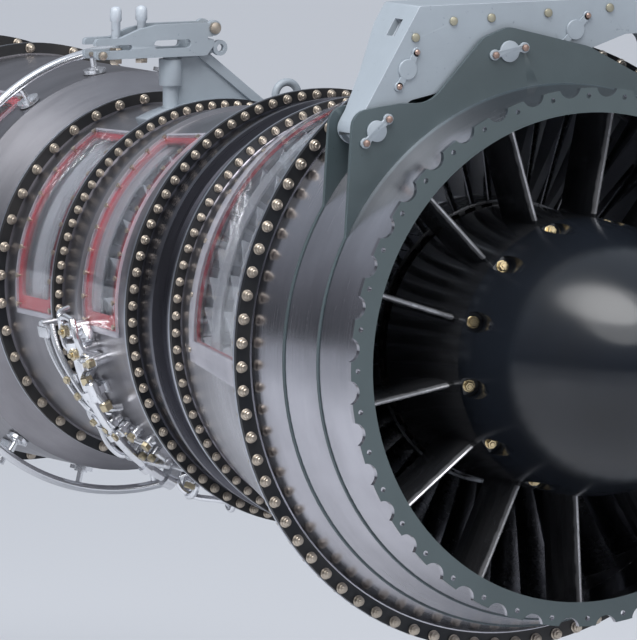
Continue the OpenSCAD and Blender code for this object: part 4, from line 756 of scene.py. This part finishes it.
# Window covers. Clear plastic sheets, bent to the casings and screwed to them. Their margins, which lie
# on the steel, are frosted.


def clear_plastic():
    m = Finish("clear_cover")
    m.set(Base_Color=(0.95, 0.97, 0.98), Transmission_Weight=1.0, IOR=1.49, Alpha=0.32)
    m.set(Roughness=m.span(m.noise(14.0, 5), 0.3, 0.75, 0.01, 0.05))
    m.bump(m.noise(9.0, 2), 0.03, 0.0004)
    return m.mat


def frosted_plastic():
    m = Finish("frosted_margin")
    base = m.mix(m.span(m.noise(20.0, 5), 0.35, 0.7), (0.52, 0.51, 0.57), (0.4, 0.4, 0.45))
    m.set(Base_Color=base, Roughness=0.3, Alpha=0.6)
    return m.mat


cover_paints = [clear_plastic(), frosted_plastic()]
for cover, (front, rear), (a0, a1) in windows:
    bm = eased(cover, 0.5)
    y0, y1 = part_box(cover)[0][1] + front * MM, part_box(cover)[1][1] - rear * MM
    planes = [((0, y, 0), (0, 1, 0)) for y in (y0, y1)]
    planes += [((0, 0, 0), (math.cos(math.radians(a)), 0, math.sin(math.radians(a)))) for a in (a0, a1)]
    for point, across in planes:
        whole = bm.verts[:] + bm.edges[:] + bm.faces[:]
        bmesh.ops.bisect_plane(bm, geom=whole, dist=1e-7, plane_co=point, plane_no=across)
    for face in bm.faces:
        c = face.calc_center_median()
        face.material_index = int(not (y0 < c.y < y1 and a0 < math.degrees(math.atan2(-c.x, c.z)) < a1))
    piece(cover.replace("window_cover", "clear_cover"), bm, cover_paints, replaces=[cover])

# Camera: a long lens from the front left and a little above, at the photograph's viewing angle. The
# ellipses of the flanges in the photograph gave its place.
scene.view_settings.view_transform = "Standard"
lens = bpy.data.cameras.new("camera")
lens.lens = 675
lens.sensor_width = 36
lens.clip_start = 0.5
lens.clip_end = 200
camera = bpy.data.objects.new("camera", lens)
scene.collection.objects.link(camera)
eye = Vector((-7.25994, -12.60267, 1.58175))
forward = Vector((0.476795, 0.872718, -0.105021)).normalized()
right = forward.cross(Vector((0, 0, 1))).normalized()
up = right.cross(forward)
camera.matrix_world = Matrix.Translation(eye) @ Matrix((right, up, -forward)).transposed().to_4x4()
scene.camera = camera

# Stage: a plain pale floor under the engine, and soft lights from above, from the left and from the
# front. The world is cool above and darker towards the horizon.
floor_mesh = bpy.data.meshes.new("floor")
bm = bmesh.new()
bmesh.ops.create_grid(bm, x_segments=1, y_segments=1, size=60)
bm.to_mesh(floor_mesh)
bm.free()
floor = bpy.data.objects.new("floor", floor_mesh)
floor.location = (0, 0, cad_box[0][2] - 0.35)
scene.collection.objects.link(floor)
paint = Finish("floor_paint")
paint.set(Base_Color=(0.6, 0.61, 0.64), Roughness=0.8)
floor_mesh.materials.append(paint.mat)


def soft_light(name, place, aim, size, power):
    data = bpy.data.lights.new(name, "AREA")
    data.shape = "ELLIPSE"
    data.size, data.size_y = size
    data.energy = power
    light = bpy.data.objects.new(name, data)
    light.location = place
    light.rotation_euler = (Vector(aim) - Vector(place)).to_track_quat("-Z", "Y").to_euler()
    scene.collection.objects.link(light)
    return light


soft_light("top_light", (-1.4, -0.6, 3.0), (0, 0.3, 0), (3.4, 2.0), 75)
soft_light("left_light", (-3.6, -0.2, 1.0), (0, 0.5, 0), (1.2, 3.0), 38).visible_glossy = False
soft_light("front_light", (1.2, -3.6, 1.2), (0, 0, 0), (2.6, 0.9), 30)
sky = bpy.data.lights.new("sky_light", "SUN")
sky.energy = 1.7
sky.angle = 1.0
overhead = bpy.data.objects.new("sky_light", sky)
overhead.rotation_euler = Vector((0.35, 0.4, -0.85)).to_track_quat("-Z", "Y").to_euler()
scene.collection.objects.link(overhead)

world = bpy.data.worlds.new("world")
world.use_nodes = True
tree = world.node_tree
split = tree.nodes.new("ShaderNodeSeparateXYZ")
ramp = tree.nodes.new("ShaderNodeValToRGB")
tree.links.new(tree.nodes.new("ShaderNodeTexCoord").outputs["Generated"], split.inputs[0])
tree.links.new(split.outputs["Z"], ramp.inputs["Fac"])
tree.links.new(ramp.outputs["Color"], tree.nodes["Background"].inputs["Color"])
ramp.color_ramp.elements[0].position = 0.02
ramp.color_ramp.elements[0].color = (0.05, 0.053, 0.06, 1)
ramp.color_ramp.elements[1].position = 0.75
ramp.color_ramp.elements[1].color = (0.5, 0.55, 0.62, 1)
middle = ramp.color_ramp.elements.new(0.3)
middle.color = (0.2, 0.21, 0.24, 1)
scene.world = world
